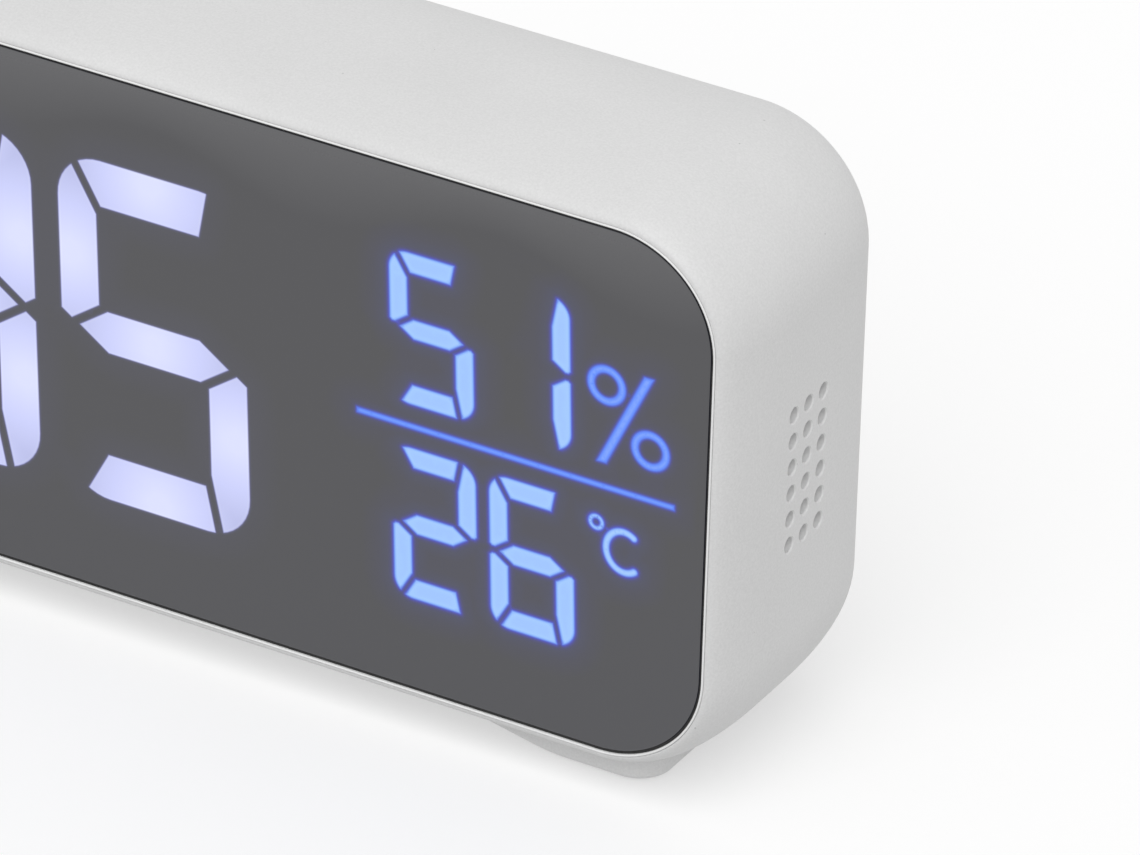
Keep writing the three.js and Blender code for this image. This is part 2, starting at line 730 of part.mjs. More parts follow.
function drawDisplay() {
  const digits = largeDigitPlaces();
  for (const x of digits) {
    addDigit(x, 0, DIGIT_W, DIGIT_H, DIGIT_STROKE, DIGIT_CORNER, DIGIT_CUT);
  }
  const colonX = (digits[1] + digits[2]) / 2;
  addSpot(COLON_DOT / 2, colonX, COLON_RISE);
  addSpot(COLON_DOT / 2, colonX, -COLON_RISE);
  for (const [x, z] of smallDigitPlaces()) {
    addDigit(x, z, SMALL_W, SMALL_H, SMALL_STROKE, SMALL_CORNER, SMALL_CUT);
  }
  addOutline([
    [dividerLeft, -DIVIDER_T / 2],
    [dividerRight, -DIVIDER_T / 2],
    [dividerRight, DIVIDER_T / 2],
    [dividerLeft, DIVIDER_T / 2],
  ]);
  const signX = dividerRight - SIGN_INSET;
  const signBottom = ROW_GAP + SIGN_FOOT;
  const signTop = signBottom + SIGN_SLASH_H;
  const signZ = (signBottom + signTop) / 2;
  addSpot(SIGN_RING_R, signX - SIGN_RING_X, signZ + SIGN_RING_Z);
  addSpot(SIGN_RING_R, signX + SIGN_RING_X, signZ - SIGN_RING_Z);
  addOutline([
    [signX - (SIGN_SLASH_RUN + SIGN_SLASH_W) / 2, signBottom],
    [signX - (SIGN_SLASH_RUN - SIGN_SLASH_W) / 2, signBottom],
    [signX + (SIGN_SLASH_RUN + SIGN_SLASH_W) / 2, signTop],
    [signX + (SIGN_SLASH_RUN - SIGN_SLASH_W) / 2, signTop],
  ]);
  const letterTop = -(ROW_GAP + LETTER_HEAD);
  const letterBottom = letterTop - LETTER_H;
  const letterX = dividerRight - LETTER_INSET;
  addSpot(DEGREE_R, dividerRight - DEGREE_INSET, letterTop);
  addOutline([
    [letterX - LETTER_W / 2, letterBottom],
    [letterX + LETTER_W / 2, letterBottom],
    [letterX + LETTER_W / 2, letterTop],
    [letterX - LETTER_W / 4, letterTop],
  ]);
}

// Reflector and display board are cut back from the bosses beside them
function bossNotches(places, radius, y0, y1) {
  return places.map(([x, z]) => solid(rodY(radius + FIT, y0 - FIT, y1 + FIT, x, z, ROUND_SIDES)));
}

function lampBlock([x, z], clearance) {
  const half = [LED_W / 2 + clearance, LED_H / 2 + clearance];
  const [y0, y1] = [displayFront - LED_T - clearance, displayFront + BOARD_T / 2];
  return solid(box(x - half[0], x + half[0], y0, y1, z - half[1], z + half[1]));
}

function reflectorFrame() {
  const outline = roundedRect(reflectorW, reflectorH, REFLECTOR_CORNER);
  const block = solid(prismY(outline, filmBack, displayFront));
  return cut(block, [
    ...bossNotches(corners.map(bossAt), CORNER_BOSS_R, filmBack, displayFront),
    ...bossNotches(corners.map(boardScrewAt), BOARD_BOSS_R, filmBack, displayFront),
    ...wells,
    ...lamps.map((lamp) => lampBlock(lamp, FIT)),
  ]);
}

function diffuserFilm() {
  const outline = roundedRect(reflectorW, reflectorH, REFLECTOR_CORNER);
  return solid(prismY(outline, filmFront, filmBack));
}

function displayBoard() {
  const outline = roundedRect(boardW, boardH, boreR - BOARD_INSET);
  const holes = corners.map((corner) => {
    const [x, z] = boardScrewAt(corner);
    return solid(rodY(pilotR, displayFront - FIT, displayBack + FIT, x, z));
  });
  const plate = cut(solid(prismY(outline, displayFront, displayBack)), [
    ...bossNotches(corners.map(bossAt), CORNER_BOSS_R, displayFront, displayBack),
    ...holes,
  ]);
  const chips = lamps.map((lamp) => lampBlock(lamp, 0));
  const socketY = displayBack + SOCKET_T;
  return fuse([plate, ...chips, flexSocket(displayBack - BOARD_T / 2, socketY)]);
}

// Flat cable between the boards: two straight legs and one half turn
const flexX = legLeft + FLEX_INSET;
const flexTop = stripBottom - SOCKET_H;

function flexSocket(y0, y1) {
  const half = FLEX_W / 2 + SOCKET_RIM;
  return solid(box(flexX - half, flexX + half, y0, y1, flexTop, flexTop + SOCKET_H));
}

function flexCable() {
  const frontLeg = displayBack + SOCKET_T / 2;
  const rearLeg = mainFront - SOCKET_T / 2;
  const middle = (frontLeg + rearLeg) / 2;
  const radius = (rearLeg - frontLeg) / 2;
  const bend = flexTop - FLEX_LEG;
  const shape = new THREE.Shape();
  shape.moveTo(frontLeg - FLEX_T / 2, flexTop);
  shape.absarc(middle, bend, radius + FLEX_T / 2, Math.PI, 2 * Math.PI);
  shape.lineTo(rearLeg + FLEX_T / 2, flexTop);
  shape.lineTo(rearLeg - FLEX_T / 2, flexTop);
  shape.absarc(middle, bend, radius - FLEX_T / 2, 2 * Math.PI, Math.PI, true);
  shape.lineTo(frontLeg + FLEX_T / 2, flexTop);
  return solid(prismX(shape, flexX - FLEX_W / 2, flexX + FLEX_W / 2));
}

// Main board: a strip under the keys and a leg beside the battery bay
function postPlaces() {
  return [
    [stripLeft + POST_EDGE, keyZ],
    [legRight - POST_EDGE, keyZ],
    [legRight - POST_EDGE, legBottom + POST_EDGE],
  ];
}

function mainBoard() {
  const outline = polygon([
    [stripLeft, stripBottom],
    [legLeft, stripBottom],
    [legLeft, legBottom],
    [legRight, legBottom],
    [legRight, stripTop],
    [stripLeft, stripTop],
  ]);
  const holes = postPlaces().map(([x, z]) => solid(rodY(pilotR, mainFront - FIT, mainBack + FIT, x, z)));
  const plate = cut(solid(prismY(outline, mainFront, mainBack)), holes);
  const chipZ = stripBottom - CHIP_DROP;
  const chip = box(
    portX - CHIP_W / 2, portX + CHIP_W / 2,
    mainFront - CHIP_T, mainBack - BOARD_T / 2,
    chipZ - CHIP_W / 2, chipZ + CHIP_W / 2,
  );
  return fuse([plate, solid(chip), flexSocket(mainFront - SOCKET_T, mainBack - BOARD_T / 2)]);
}

// Screw with a domed head and a pointed shank. It points along -Y with its head's seat at y = 0.
function screw(length) {
  const profile = [
    [0, -length],
    [SCREW_SHANK_R, SCREW_SHANK_R - length],
    [SCREW_SHANK_R, 0],
    [SCREW_HEAD_R, 0],
    [SCREW_HEAD_R, SCREW_HEAD_T - SCREW_DOME],
    [SCREW_HEAD_R - SCREW_DOME, SCREW_HEAD_T],
    [0, SCREW_HEAD_T],
  ];
  return new THREE.LatheGeometry(profile.map(([r, y]) => new THREE.Vector2(r, y)), HOLE_SIDES);
}

function screwIntoFront(length, seat, x, z) {
  return solid(screw(length).translate(x, seat, z));
}

function screwIntoRear(length, seat, x, z) {
  return solid(screw(length).rotateX(Math.PI).translate(x, seat, z));
}

// Keys: a pill-shaped cap, a flange behind the cover and a stem on the switch's plunger
function keyPlaces() {
  const first = -(KEY_PITCH * (KEY_NAMES.length - 1)) / 2;
  return KEY_NAMES.map((name, i) => [name, first + i * KEY_PITCH]);
}

function keyCap(x) {
  const cap = roundedRect(KEY_W, KEY_H, KEY_H / 2, x, keyZ);
  const wide = KEY_W + 2 * KEY_FLANGE_RIM;
  const tall = KEY_H + 2 * KEY_FLANGE_RIM;
  const flange = roundedRect(wide, tall, tall / 2, x, keyZ);
  return fuse([
    solid(prismY(flange, flangeBottom, flangeTop, SMALL_STEPS)),
    solid(prismY(cap, flangeTop - KEY_FLANGE_T / 2, keyTop, SMALL_STEPS)),
    solid(rodY(KEY_STEM_R, plungerTop, flangeTop - KEY_FLANGE_T / 2, x, keyZ, ROUND_SIDES)),
  ]);
}

function switchBody(x) {
  const half = SWITCH_W / 2;
  const block = solid(box(x - half, x + half, mainBack, switchTop, keyZ - half, keyZ + half));
  const wellBottom = plungerBottom - KEY_TRAVEL - FIT;
  return block.subtract(solid(rodY(PLUNGER_R + FIT, wellBottom, switchTop + FIT, x, keyZ, HOLE_SIDES)));
}

function switchPlunger(x) {
  return solid(rodY(PLUNGER_R, plungerBottom, plungerTop, x, keyZ, HOLE_SIDES));
}

// Rear cover: the plate, the battery tray, the screw cups and the posts
const tabReach = Math.hypot(hingeY - (coverInner - FIT - TAB_T), TAB_REACH + DOOR_T / 2);

function buzzerSlots() {
  const z0 = stripBottom - BUZZER_DROP;
  const slots = [];
  for (let i = 0; i < SLOT_COUNT; i += 1) {
    const z = z0 + (i - (SLOT_COUNT - 1) / 2) * SLOT_PITCH;
    const shape = roundedRect(SLOT_L, SLOT_W, SLOT_W / 2, portX, z);
    slots.push(solid(prismY(shape, coverInner - FIT, coverOuter + FIT, SMALL_STEPS)));
  }
  return slots;
}

function rearCover() {
  const plate = solid(prismY(roundedRect(panelW, panelH, PANEL_R), coverInner, coverOuter));
  const trayShape = roundedRect(2 * trayHalfX, 2 * trayHalfZ, TRAY_WALL, 0, BAY_Z);
  const tray = solid(prismY(trayShape, bayFloor - TRAY_FLOOR, coverInner + COVER_T / 2));
  const cups = corners.map((corner) => {
    const [x, z] = bossAt(corner);
    return solid(rodY(cupR, cupEnd, coverInner + COVER_T / 2, x, z, ROUND_SIDES));
  });
  const posts = postPlaces().map(([x, z]) => {
    return solid(rodY(POST_R, mainBack, coverInner + COVER_T / 2, x, z, HOLE_SIDES));
  });
  const whole = fuse([plate, tray, ...cups, ...posts]);
  const bayTop = BAY_Z + bayHalfZ;
  const bayBottom = BAY_Z - bayHalfZ;
  const openX = doorHalfX + FIT;
  const openZ = doorHalfZ + FIT;
  const tabSlots = [-1, 1].map((side) => {
    const half = TAB_W / 2 + FIT;
    const x = side * TAB_X;
    const inner = hingeY - tabReach - FIT;
    return solid(box(x - half, x + half, inner, coverInner, bayBottom - TRAY_WALL - FIT, bayBottom + FIT));
  });
  const keyHoles = keyPlaces().map(([, x]) => {
    const hole = roundedRect(KEY_W + 2 * FIT, KEY_H + 2 * FIT, KEY_H / 2 + FIT, x, keyZ);
    return solid(prismY(hole, coverInner - FIT, coverOuter + FIT, SMALL_STEPS));
  });
  const usbZ = stripBottom - USB_DROP;
  const usbHole = roundedRect(USB_W + 2 * FIT, USB_H + 2 * FIT, USB_H / 2 + FIT, portX, usbZ);
  const screwHoles = corners.flatMap((corner) => {
    const [x, z] = bossAt(corner);
    return [
      solid(rodY(headHoleR, headSeat, coverOuter + FIT, x, z, ROUND_SIDES)),
      solid(rodY(pilotR, cupEnd - FIT, headSeat + FIT, x, z)),
    ];
  });
  const postPilots = postPlaces().map(([x, z]) => {
    return solid(rodY(pilotR, mainBack - FIT, mainFront + BOARD_SCREW_L + FIT, x, z));
  });
  return cut(whole, [
    solid(box(-bayHalfX, bayHalfX, bayFloor, coverOuter + FIT, bayBottom, bayTop)),
    solid(box(-openX, openX, doorInner - FIT, coverOuter + FIT, BAY_Z - openZ, BAY_Z + openZ)),
    ...tabSlots,
    ...keyHoles,
    solid(prismY(usbHole, coverInner - FIT, coverOuter + FIT, SMALL_STEPS)),
    ...buzzerSlots(),
    ...screwHoles,
    ...postPilots,
  ]);
}

// Battery door: a plate with a round lower edge on the hinge line, two tabs and a thumb scoop
function batteryDoor() {
  const doorBottom = BAY_Z - doorHalfZ;
  const doorTop = BAY_Z + doorHalfZ;
  const section = new THREE.Shape();
  section.moveTo(doorInner, doorTop);
  section.absarc(hingeY, hingeZ, DOOR_T / 2, Math.PI, 2 * Math.PI);
  section.lineTo(coverOuter, doorTop);
  const plate = solid(prismX(section, -doorHalfX, doorHalfX));
  const tabBack = coverInner - FIT - TAB_T;
  const tabFront = coverInner - FIT;
  const overlap = DOOR_T / 3;
  const tabSection = polygon([
    [doorInner + overlap, doorBottom + TAB_ROOT],
    [tabBack, doorBottom + TAB_ROOT],
    [tabBack, doorBottom - TAB_REACH],
    [tabFront, doorBottom - TAB_REACH],
    [tabFront, doorBottom + DOOR_T / 2],
    [doorInner + overlap, doorBottom + DOOR_T / 2],
  ]);
  const tabs = [-1, 1].map((side) => {
    return solid(prismX(tabSection, side * TAB_X - TAB_W / 2, side * TAB_X + TAB_W / 2));
  });
  const scoopY = coverOuter + SCOOP_R - SCOOP_DEPTH;
  const scoop = solid(rodX(SCOOP_R, -SCOOP_W / 2, SCOOP_W / 2, scoopY, doorTop - SCOOP_EDGE, ROUND_SIDES));
  return fuse([plate, ...tabs]).subtract(scoop);
}

// Cells lie side by side, every second one turned round
function cellRows() {
  const first = BAY_Z - ((CELL_COUNT - 1) * cellPitch) / 2;
  return Array.from({ length: CELL_COUNT }, (_, i) => [first + i * cellPitch, i % 2 === 0 ? 1 : -1]);
}

function cell(z, turn) {
  const half = (CELL_L + CELL_NUB_L) / 2;
  const bodyStart = turn > 0 ? -half : -half + CELL_NUB_L;
  const body = solid(rodX(CELL_R, bodyStart, bodyStart + CELL_L, cellY, z, ROUND_SIDES));
  const nubStart = turn > 0 ? half - CELL_NUB_L : -half;
  const [n0, n1] = turn > 0 ? [nubStart - CELL_NUB_L, half] : [nubStart, nubStart + 2 * CELL_NUB_L];
  return body.add(solid(rodX(CELL_NUB_R, n0, n1, cellY, z, HOLE_SIDES)));
}

// A contact is a plate on the end wall of the bay with a raised bump for each cell that it touches
function contact(side, rows) {
  const wall = side * bayHalfX;
  const face = side * (bayHalfX - CONTACT_T);
  const tip = side * (bayHalfX - CONTACT_T - CONTACT_BUMP);
  const heights = rows.map((row) => cellRows()[row][0]);
  const low = Math.min(...heights) - CONTACT_W / 2;
  const high = Math.max(...heights) + CONTACT_W / 2;
  const [x0, x1] = side > 0 ? [face, wall] : [wall, face];
  const plate = solid(box(x0, x1, cellY - CONTACT_W / 2, cellY + CONTACT_W / 2, low, high));
  const bumps = heights.map((z) => {
    const length = CONTACT_BUMP + CONTACT_T / 2;
    const middle = tip + (side * length) / 2;
    const cone = new THREE.CylinderGeometry(CONTACT_TIP_R, CONTACT_BUMP_R, length, HOLE_SIDES);
    return solid(cone.rotateZ((side * Math.PI) / 2).translate(middle, cellY, z));
  });
  return fuse([plate, ...bumps]);
}

function usbSocket() {
  const z = stripBottom - USB_DROP;
  const mouth = coverOuter - USB_SINK;
  const outer = roundedRect(USB_W, USB_H, USB_H / 2, portX, z);
  const inner = roundedRect(USB_W - 2 * USB_WALL, USB_H - 2 * USB_WALL, USB_H / 2 - USB_WALL, portX, z);
  const floor = mouth - USB_DEPTH;
  const can = solid(prismY(outer, mainBack, mouth, SMALL_STEPS));
  const shell = can.subtract(solid(prismY(inner, floor, mouth + FIT, SMALL_STEPS)));
  const tongue = box(
    portX - USB_TONGUE_W / 2, portX + USB_TONGUE_W / 2,
    floor - FIT, floor + USB_TONGUE_L,
    z - USB_TONGUE_T / 2, z + USB_TONGUE_T / 2,
  );
  return shell.add(solid(tongue));
}

function buzzer() {
  const z = stripBottom - BUZZER_DROP;
  const top = coverInner - BUZZER_GAP;
  const can = solid(rodY(BUZZER_R, mainBack, top, portX, z, ROUND_SIDES));
  return can.subtract(solid(rodY(BUZZER_HOLE_R, top - BUZZER_HOLE_L, top + FIT, portX, z)));
}

function climateSensor() {
  const outer = boreW / 2 - FIT;
  return solid(box(
    outer - SENSOR_T, outer,
    midDepth - sensorHalfY, midDepth + sensorHalfY,
    -sensorHalfZ, sensorHalfZ,
  ));
}

function touchFoil() {
  const top = boreH / 2;
  const start = displayBack + FOIL_START;
  const pad = box(-FOIL_W / 2, FOIL_W / 2, start, start + FOIL_D, top - FOIL_T, top);
  const lead = box(-TAIL_W / 2, TAIL_W / 2, displayBack, start + FOIL_START, top - FOIL_T, top);
  const tail = box(-TAIL_W / 2, TAIL_W / 2, displayBack, displayBack + FOIL_T, top - TAIL_DROP, top);
  return fuse([solid(pad), solid(lead), solid(tail)]);
}

function panelTape() {
  const outer = roundedRect(panelW - 2 * TAPE_INSET, panelH - 2 * TAPE_INSET, PANEL_R - TAPE_INSET);
  const inset = TAPE_INSET + TAPE_W;
  const inner = roundedRect(panelW - 2 * inset, panelH - 2 * inset, PANEL_R - inset);
  const ring = solid(prismY(outer, PANEL_T, ledgeFront));
  return ring.subtract(solid(prismY(inner, PANEL_T - FIT, ledgeFront + FIT)));
}

function rubberPad(x, y) {
  return solid(rodZ(PAD_R, footBottom + PAD_SINK - PAD_T, footBottom + PAD_SINK, x, y, ROUND_SIDES));
}

// Assembly
drawDisplay();
const clock = new THREE.Group();

function add(name, material, whole) {
  clock.add(piece(name, material, whole));
}

add('case_shell', whitePlastic, caseShell());
add('front_panel', smokedMirror, solid(prismY(roundedRect(panelW, panelH, PANEL_R), 0, PANEL_T)));
add('panel_tape', blackFoam, panelTape());
add('diffuser_film', clearFilm, diffuserFilm());
add('reflector_frame', darkPlastic, reflectorFrame());
add('display_board', greenBoard, displayBoard());
add('flex_cable', flexWhite, flexCable());
add('touch_foil', copperFoil, touchFoil());
add('climate_sensor', whitePlastic, climateSensor());
add('rear_cover', whitePlastic, rearCover());
add('battery_door', whitePlastic, batteryDoor());
add('main_board', greenBoard, mainBoard());
add('buzzer', switchBlack, buzzer());
add('usb_socket', plainSteel, usbSocket());

for (const [name, x] of keyPlaces()) {
  add(`${name}_key`, keyPlastic, keyCap(x));
  add(`${name}_switch`, switchBlack, switchBody(x));
  add(`${name}_plunger`, plungerBrown, switchPlunger(x));
}

cellRows().forEach(([z, turn], i) => add(`battery_${i + 1}`, cellJacket, cell(z, turn)));
add('contact_single_left', plainSteel, contact(-1, [2]));
add('contact_double_left', plainSteel, contact(-1, [0, 1]));
add('contact_single_right', plainSteel, contact(1, [0]));
add('contact_double_right', plainSteel, contact(1, [1, 2]));

corners.forEach((corner, i) => {
  const [bossX, bossZ] = bossAt(corner);
  const [screwX, screwZ] = boardScrewAt(corner);
  add(`cover_screw_${i + 1}`, plainSteel, screwIntoFront(COVER_SCREW_L, headSeat, bossX, bossZ));
  add(`display_screw_${i + 1}`, plainSteel, screwIntoFront(BOARD_SCREW_L, displayBack, screwX, screwZ));
});

postPlaces().forEach(([x, z], i) => {
  add(`main_screw_${i + 1}`, plainSteel, screwIntoRear(BOARD_SCREW_L, mainFront, x, z));
});

padPlaces().forEach(([x, y], i) => add(`rubber_pad_${i + 1}`, rubberGrey, rubberPad(x, y)));

// The clock stands on its pads with the middle of its depth over the origin
const lowest = footBottom + PAD_SINK - PAD_T;
const rearmost = Math.max(rearRim, keyTop);
clock.position.set(0, -(frontRim + rearmost) / 2, -lowest);

export default clock;
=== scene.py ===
# %% [markdown]
# # A table alarm clock with a half-mirror front
# The clock is a white moulded sleeve with two feet. A smoked half-mirror closes its front, and lit
# digits shine through it. A cover with keys, a battery door and a charging inlet closes its back.
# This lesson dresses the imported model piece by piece. Every size is in metres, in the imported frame:
# X runs to the viewer's right, the front faces -Y, Z is up and the pads stand on z = 0.

import json
import math

import bmesh
import bpy
import numpy as np
from mathutils import Matrix, Vector
from mathutils.geometry import delaunay_2d_cdt


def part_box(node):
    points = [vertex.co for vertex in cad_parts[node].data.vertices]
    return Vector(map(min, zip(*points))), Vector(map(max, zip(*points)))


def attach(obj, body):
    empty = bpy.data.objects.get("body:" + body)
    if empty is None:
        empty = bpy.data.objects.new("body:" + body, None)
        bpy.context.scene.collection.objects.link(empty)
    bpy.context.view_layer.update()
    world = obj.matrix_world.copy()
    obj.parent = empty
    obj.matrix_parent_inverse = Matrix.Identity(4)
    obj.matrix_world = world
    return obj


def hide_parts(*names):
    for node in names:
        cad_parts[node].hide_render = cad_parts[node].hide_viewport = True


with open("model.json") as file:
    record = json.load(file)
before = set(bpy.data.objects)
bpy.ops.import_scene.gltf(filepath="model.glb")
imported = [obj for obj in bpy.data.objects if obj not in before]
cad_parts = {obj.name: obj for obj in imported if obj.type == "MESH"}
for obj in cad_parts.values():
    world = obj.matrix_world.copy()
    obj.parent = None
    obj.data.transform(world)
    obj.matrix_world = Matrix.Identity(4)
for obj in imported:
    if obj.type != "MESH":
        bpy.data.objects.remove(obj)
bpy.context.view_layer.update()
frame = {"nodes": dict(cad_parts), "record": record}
MM = 0.001

# %% [markdown]
# ## Sizes from the frame
# A dressed clock must not drift from its frame, so the large sizes are read from the boxes of the
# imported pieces. Only what a box can't tell, such as a corner's radius, is written as a number. The plates
# in front and behind are drawn a little smaller than packed, because the photograph shows the dark
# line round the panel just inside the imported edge.

# %% Measure the frame
panel_lo, panel_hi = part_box("front_panel")
case_lo, case_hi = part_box("case_shell")
cover_lo, cover_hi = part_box("rear_cover")
door_lo, door_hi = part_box("battery_door")

FACE_Y = panel_lo.y
MID_Z = (panel_lo.z + panel_hi.z) / 2
PLATE_IN = 0.28 * MM
PANEL_HALF_X = panel_hi.x - PLATE_IN
PANEL_HALF_Z = panel_hi.z - MID_Z - PLATE_IN
PANEL_T = panel_hi.y - panel_lo.y
PACKED_R = 13.6 * MM
PANEL_R = PACKED_R - PLATE_IN
PANEL_GAP = 0.34 * MM
CLEARANCE = 0.3 * MM
BEAD_W = 0.28 * MM
GROOVE_W = 0.07 * MM
RIM_LAND = BEAD_W + GROOVE_W
CASE_EDGE = 14.0 * MM

CORNER_X = PANEL_HALF_X - PANEL_R
CORNER_Z = PANEL_HALF_Z - PANEL_R
BORE_R = PANEL_R + PANEL_GAP
RIM_R = BORE_R + RIM_LAND
CASE_BULGE = case_hi.x - CORNER_X - RIM_R
print("panel", 2 * PANEL_HALF_X, 2 * PANEL_HALF_Z, "bulge", CASE_BULGE)

# %% [markdown]
# ## Helpers for hand-built meshes
# Most moulded pieces here are stacks of closed loops: a band of quads joins each loop to the next,
# and a flat cap closes the ends. A cap may have holes, so it is triangulated with a constrained
# Delaunay triangulation. Every helper adds its own vertices, and one weld at the end joins them,
# which is far simpler than keeping track of shared corners. A flat face with a softened edge gets a
# support loop just inside that edge, so that the smooth shading doesn't spread over the face.

# %% Loops and bands
WELD = 1e-6
QUARTER = math.pi / 2
SUPPORT = 0.06 * MM


def full_turn(steps):
    """Angles of a full turn, without the end that meets the start."""
    return [2 * math.pi * i / steps for i in range(steps)]


def quarter_turn(steps):
    """Angles of a quarter turn, with both ends."""
    return [i / steps * QUARTER for i in range(steps + 1)]


def rounded_loop(cu, cv, half_u, half_v, radius, steps=12):
    """Points of a rounded rectangle, counter-clockwise, with an arc of some steps at each corner."""
    points = []
    for corner, (su, sv) in enumerate(((1, 1), (-1, 1), (-1, -1), (1, -1))):
        for i in range(steps + 1):
            angle = (corner + i / steps) * QUARTER
            u = cu + su * (half_u - radius) + radius * math.cos(angle)
            v = cv + sv * (half_v - radius) + radius * math.sin(angle)
            points.append((u, v))
    return points


def at_depth(loop, y):
    """A loop of (x, z) points, placed at one depth."""
    return [(x, y, z) for x, z in loop]


def band(bm, first, second):
    """Quads between two closed loops with as many points."""
    one = [bm.verts.new(p) for p in first]
    two = [bm.verts.new(p) for p in second]
    for i in range(len(one)):
        j = (i + 1) % len(one)
        bm.faces.new((one[i], one[j], two[j], two[i]))


def stack(bm, loops):
    """Bands through a whole stack of loops."""
    for first, second in zip(loops, loops[1:]):
        band(bm, first, second)


def round_edge(size, steps=4):
    """Steps over a rounded edge, as (inset, sink): from the flat face down to the wall."""
    return [(size * (1 - math.sin(t)), size * (1 - math.cos(t))) for t in quarter_turn(steps)]


print("a rounded loop has", len(rounded_loop(0, 0, 2, 1, 0.5)), "points")

# %% Caps with holes
def inside(points, loop):
    """Which of the points lie inside a closed loop, by counting crossings of its edges."""
    points = np.asarray(points)
    ends = np.asarray(loop)
    hit = np.zeros(len(points), bool)
    for (u0, v0), (u1, v1) in zip(ends, np.roll(ends, -1, axis=0)):
        if v0 != v1:
            crosses = (v0 > points[:, 1]) != (v1 > points[:, 1])
            reach = u0 + (points[:, 1] - v0) * (u1 - u0) / (v1 - v0)
            hit ^= crosses & (points[:, 0] < reach)
    return hit


def triangulate(loops, holes=(), extra=()):
    """Triangles inside the first loop and outside the holes. Other loops become edges of the mesh."""
    points = []
    edges = []
    for loop in (*loops, *holes):
        start = len(points)
        points += [Vector(p) for p in loop]
        edges += [(start + i, start + (i + 1) % len(loop)) for i in range(len(loop))]
    points += [Vector(p) for p in extra]
    verts, _, faces, *_ = delaunay_2d_cdt(points, edges, [], 1, WELD / 10)
    middles = np.array([sum((verts[i] for i in f), Vector((0, 0))) / len(f) for f in faces])
    keep = np.ones(len(faces), bool)
    for hole in holes:
        keep &= ~inside(middles, hole)
    return verts, [f for f, kept in zip(faces, keep) if kept]


def cap(bm, place, loops, holes=(), extra=()):
    """A flat or draped cap: place turns a point of the plan into a point in space."""
    verts, faces = triangulate(loops, holes, extra)
    made = [bm.verts.new(place(u, v)) for u, v in verts]
    for f in faces:
        bm.faces.new([made[i] for i in f])


def flat_cap(bm, y, loops, holes=(), extra=()):
    """A flat cap at one depth, from loops of (x, z) points."""
    cap(bm, lambda x, z: (x, y, z), loops, holes, extra)


print("a square makes", len(triangulate([[(0, 0), (1, 0), (1, 1), (0, 1)]])[1]), "triangles")

# %% Finished meshes
SMOOTH_ANGLE = math.radians(32)


def close_mesh(bm):
    """Welds a mesh built from parts and points its faces outwards."""
    bmesh.ops.remove_doubles(bm, verts=bm.verts, dist=WELD)
    bmesh.ops.dissolve_degenerate(bm, dist=WELD / 10, edges=bm.edges)
    bmesh.ops.recalc_face_normals(bm, faces=bm.faces)


def shade(mesh):
    """Smooth shading that keeps the sharp edges."""
    mesh.shade_smooth()
    mesh.set_sharp_from_angle(angle=SMOOTH_ANGLE)


def new_object(name, mesh, *materials):
    """Puts a mesh into the scene with its materials."""
    for material in materials:
        mesh.materials.append(material)
    obj = bpy.data.objects.new(name, mesh)
    bpy.context.scene.collection.objects.link(obj)
    return obj


def piece_from(bm, name, *materials):
    """Finishes a hand-built mesh as an object."""
    close_mesh(bm)
    mesh = bpy.data.meshes.new(name)
    bm.to_mesh(mesh)
    bm.free()
    shade(mesh)
    return new_object(name, mesh, *materials)


def count_open_edges(mesh):
    """Edges that don't lie between exactly two faces: a closed piece has none."""
    bm = bmesh.new()
    bm.from_mesh(mesh)
    count = sum(1 for edge in bm.edges if not edge.is_manifold)
    bm.free()
    return count


def dress(obj, body, slot, *nodes):
    """Hands a finished piece to the frame: the nodes it stands for and its body. Its finish, the slot, is
    not used.
    """
    if nodes:
        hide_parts(*nodes)
    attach(obj, body)
    open_edges = count_open_edges(obj.data)
    print(obj.name, len(obj.data.polygons), "faces on", body, "with", open_edges, "open edges")


print("edges over", round(math.degrees(SMOOTH_ANGLE)), "degrees stay sharp")

# %% [markdown]
# ## Helpers for node trees
# What repeats or follows a path is made by Geometry Nodes, in a tree with named sizes. A size is set
# on the modifier by its socket's identifier. The result is then turned into a plain mesh, so that the
# export finds ordinary faces. The sky and the materials are node trees too, so they share the helpers
# that add a node and feed its inputs.

# %% Nodes and their inputs
def feed(tree, socket, value):
    """Gives an input a value, or a link from an output."""
    if isinstance(value, bpy.types.NodeSocket):
        tree.links.new(value, socket)
    else:
        socket.default_value = value


def set_inputs(tree, node, **values):
    """Feeds some inputs of a node, named with _ for a space."""
    for key, value in values.items():
        feed(tree, node.inputs[key.replace("_", " ")], value)


def add_node(tree, kind, settings=None, **values):
    """A node with its settings and the values or links of its inputs."""
    node = tree.nodes.new(kind)
    for key, value in (settings or {}).items():
        setattr(node, key, value)
    set_inputs(tree, node, **values)
    return node


def shape_node(tree, kind, settings=None, **values):
    """The first output of a new geometry node."""
    return add_node(tree, f"GeometryNode{kind}", settings, **values).outputs[0]


def calculate(tree, operation, *values):
    """One step of arithmetic with numbers or outputs."""
    node = add_node(tree, "ShaderNodeMath", {"operation": operation})
    for socket, value in zip(node.inputs, values):
        feed(tree, socket, value)
    return node.outputs[0]


def spread(tree, value, low, high, start=0.3, end=0.7):
    """A value from start to end, spread over the range from low to high."""
    ends = {"From_Min": start, "From_Max": end, "To_Min": low, "To_Max": high}
    return add_node(tree, "ShaderNodeMapRange", Value=value, **ends).outputs["Result"]


print("node helpers", [helper.__name__ for helper in (set_inputs, add_node, shape_node, calculate, spread)])

# %% Trees with named sizes
SOCKETS = {float: "NodeSocketFloat", int: "NodeSocketInt", tuple: "NodeSocketVector"}


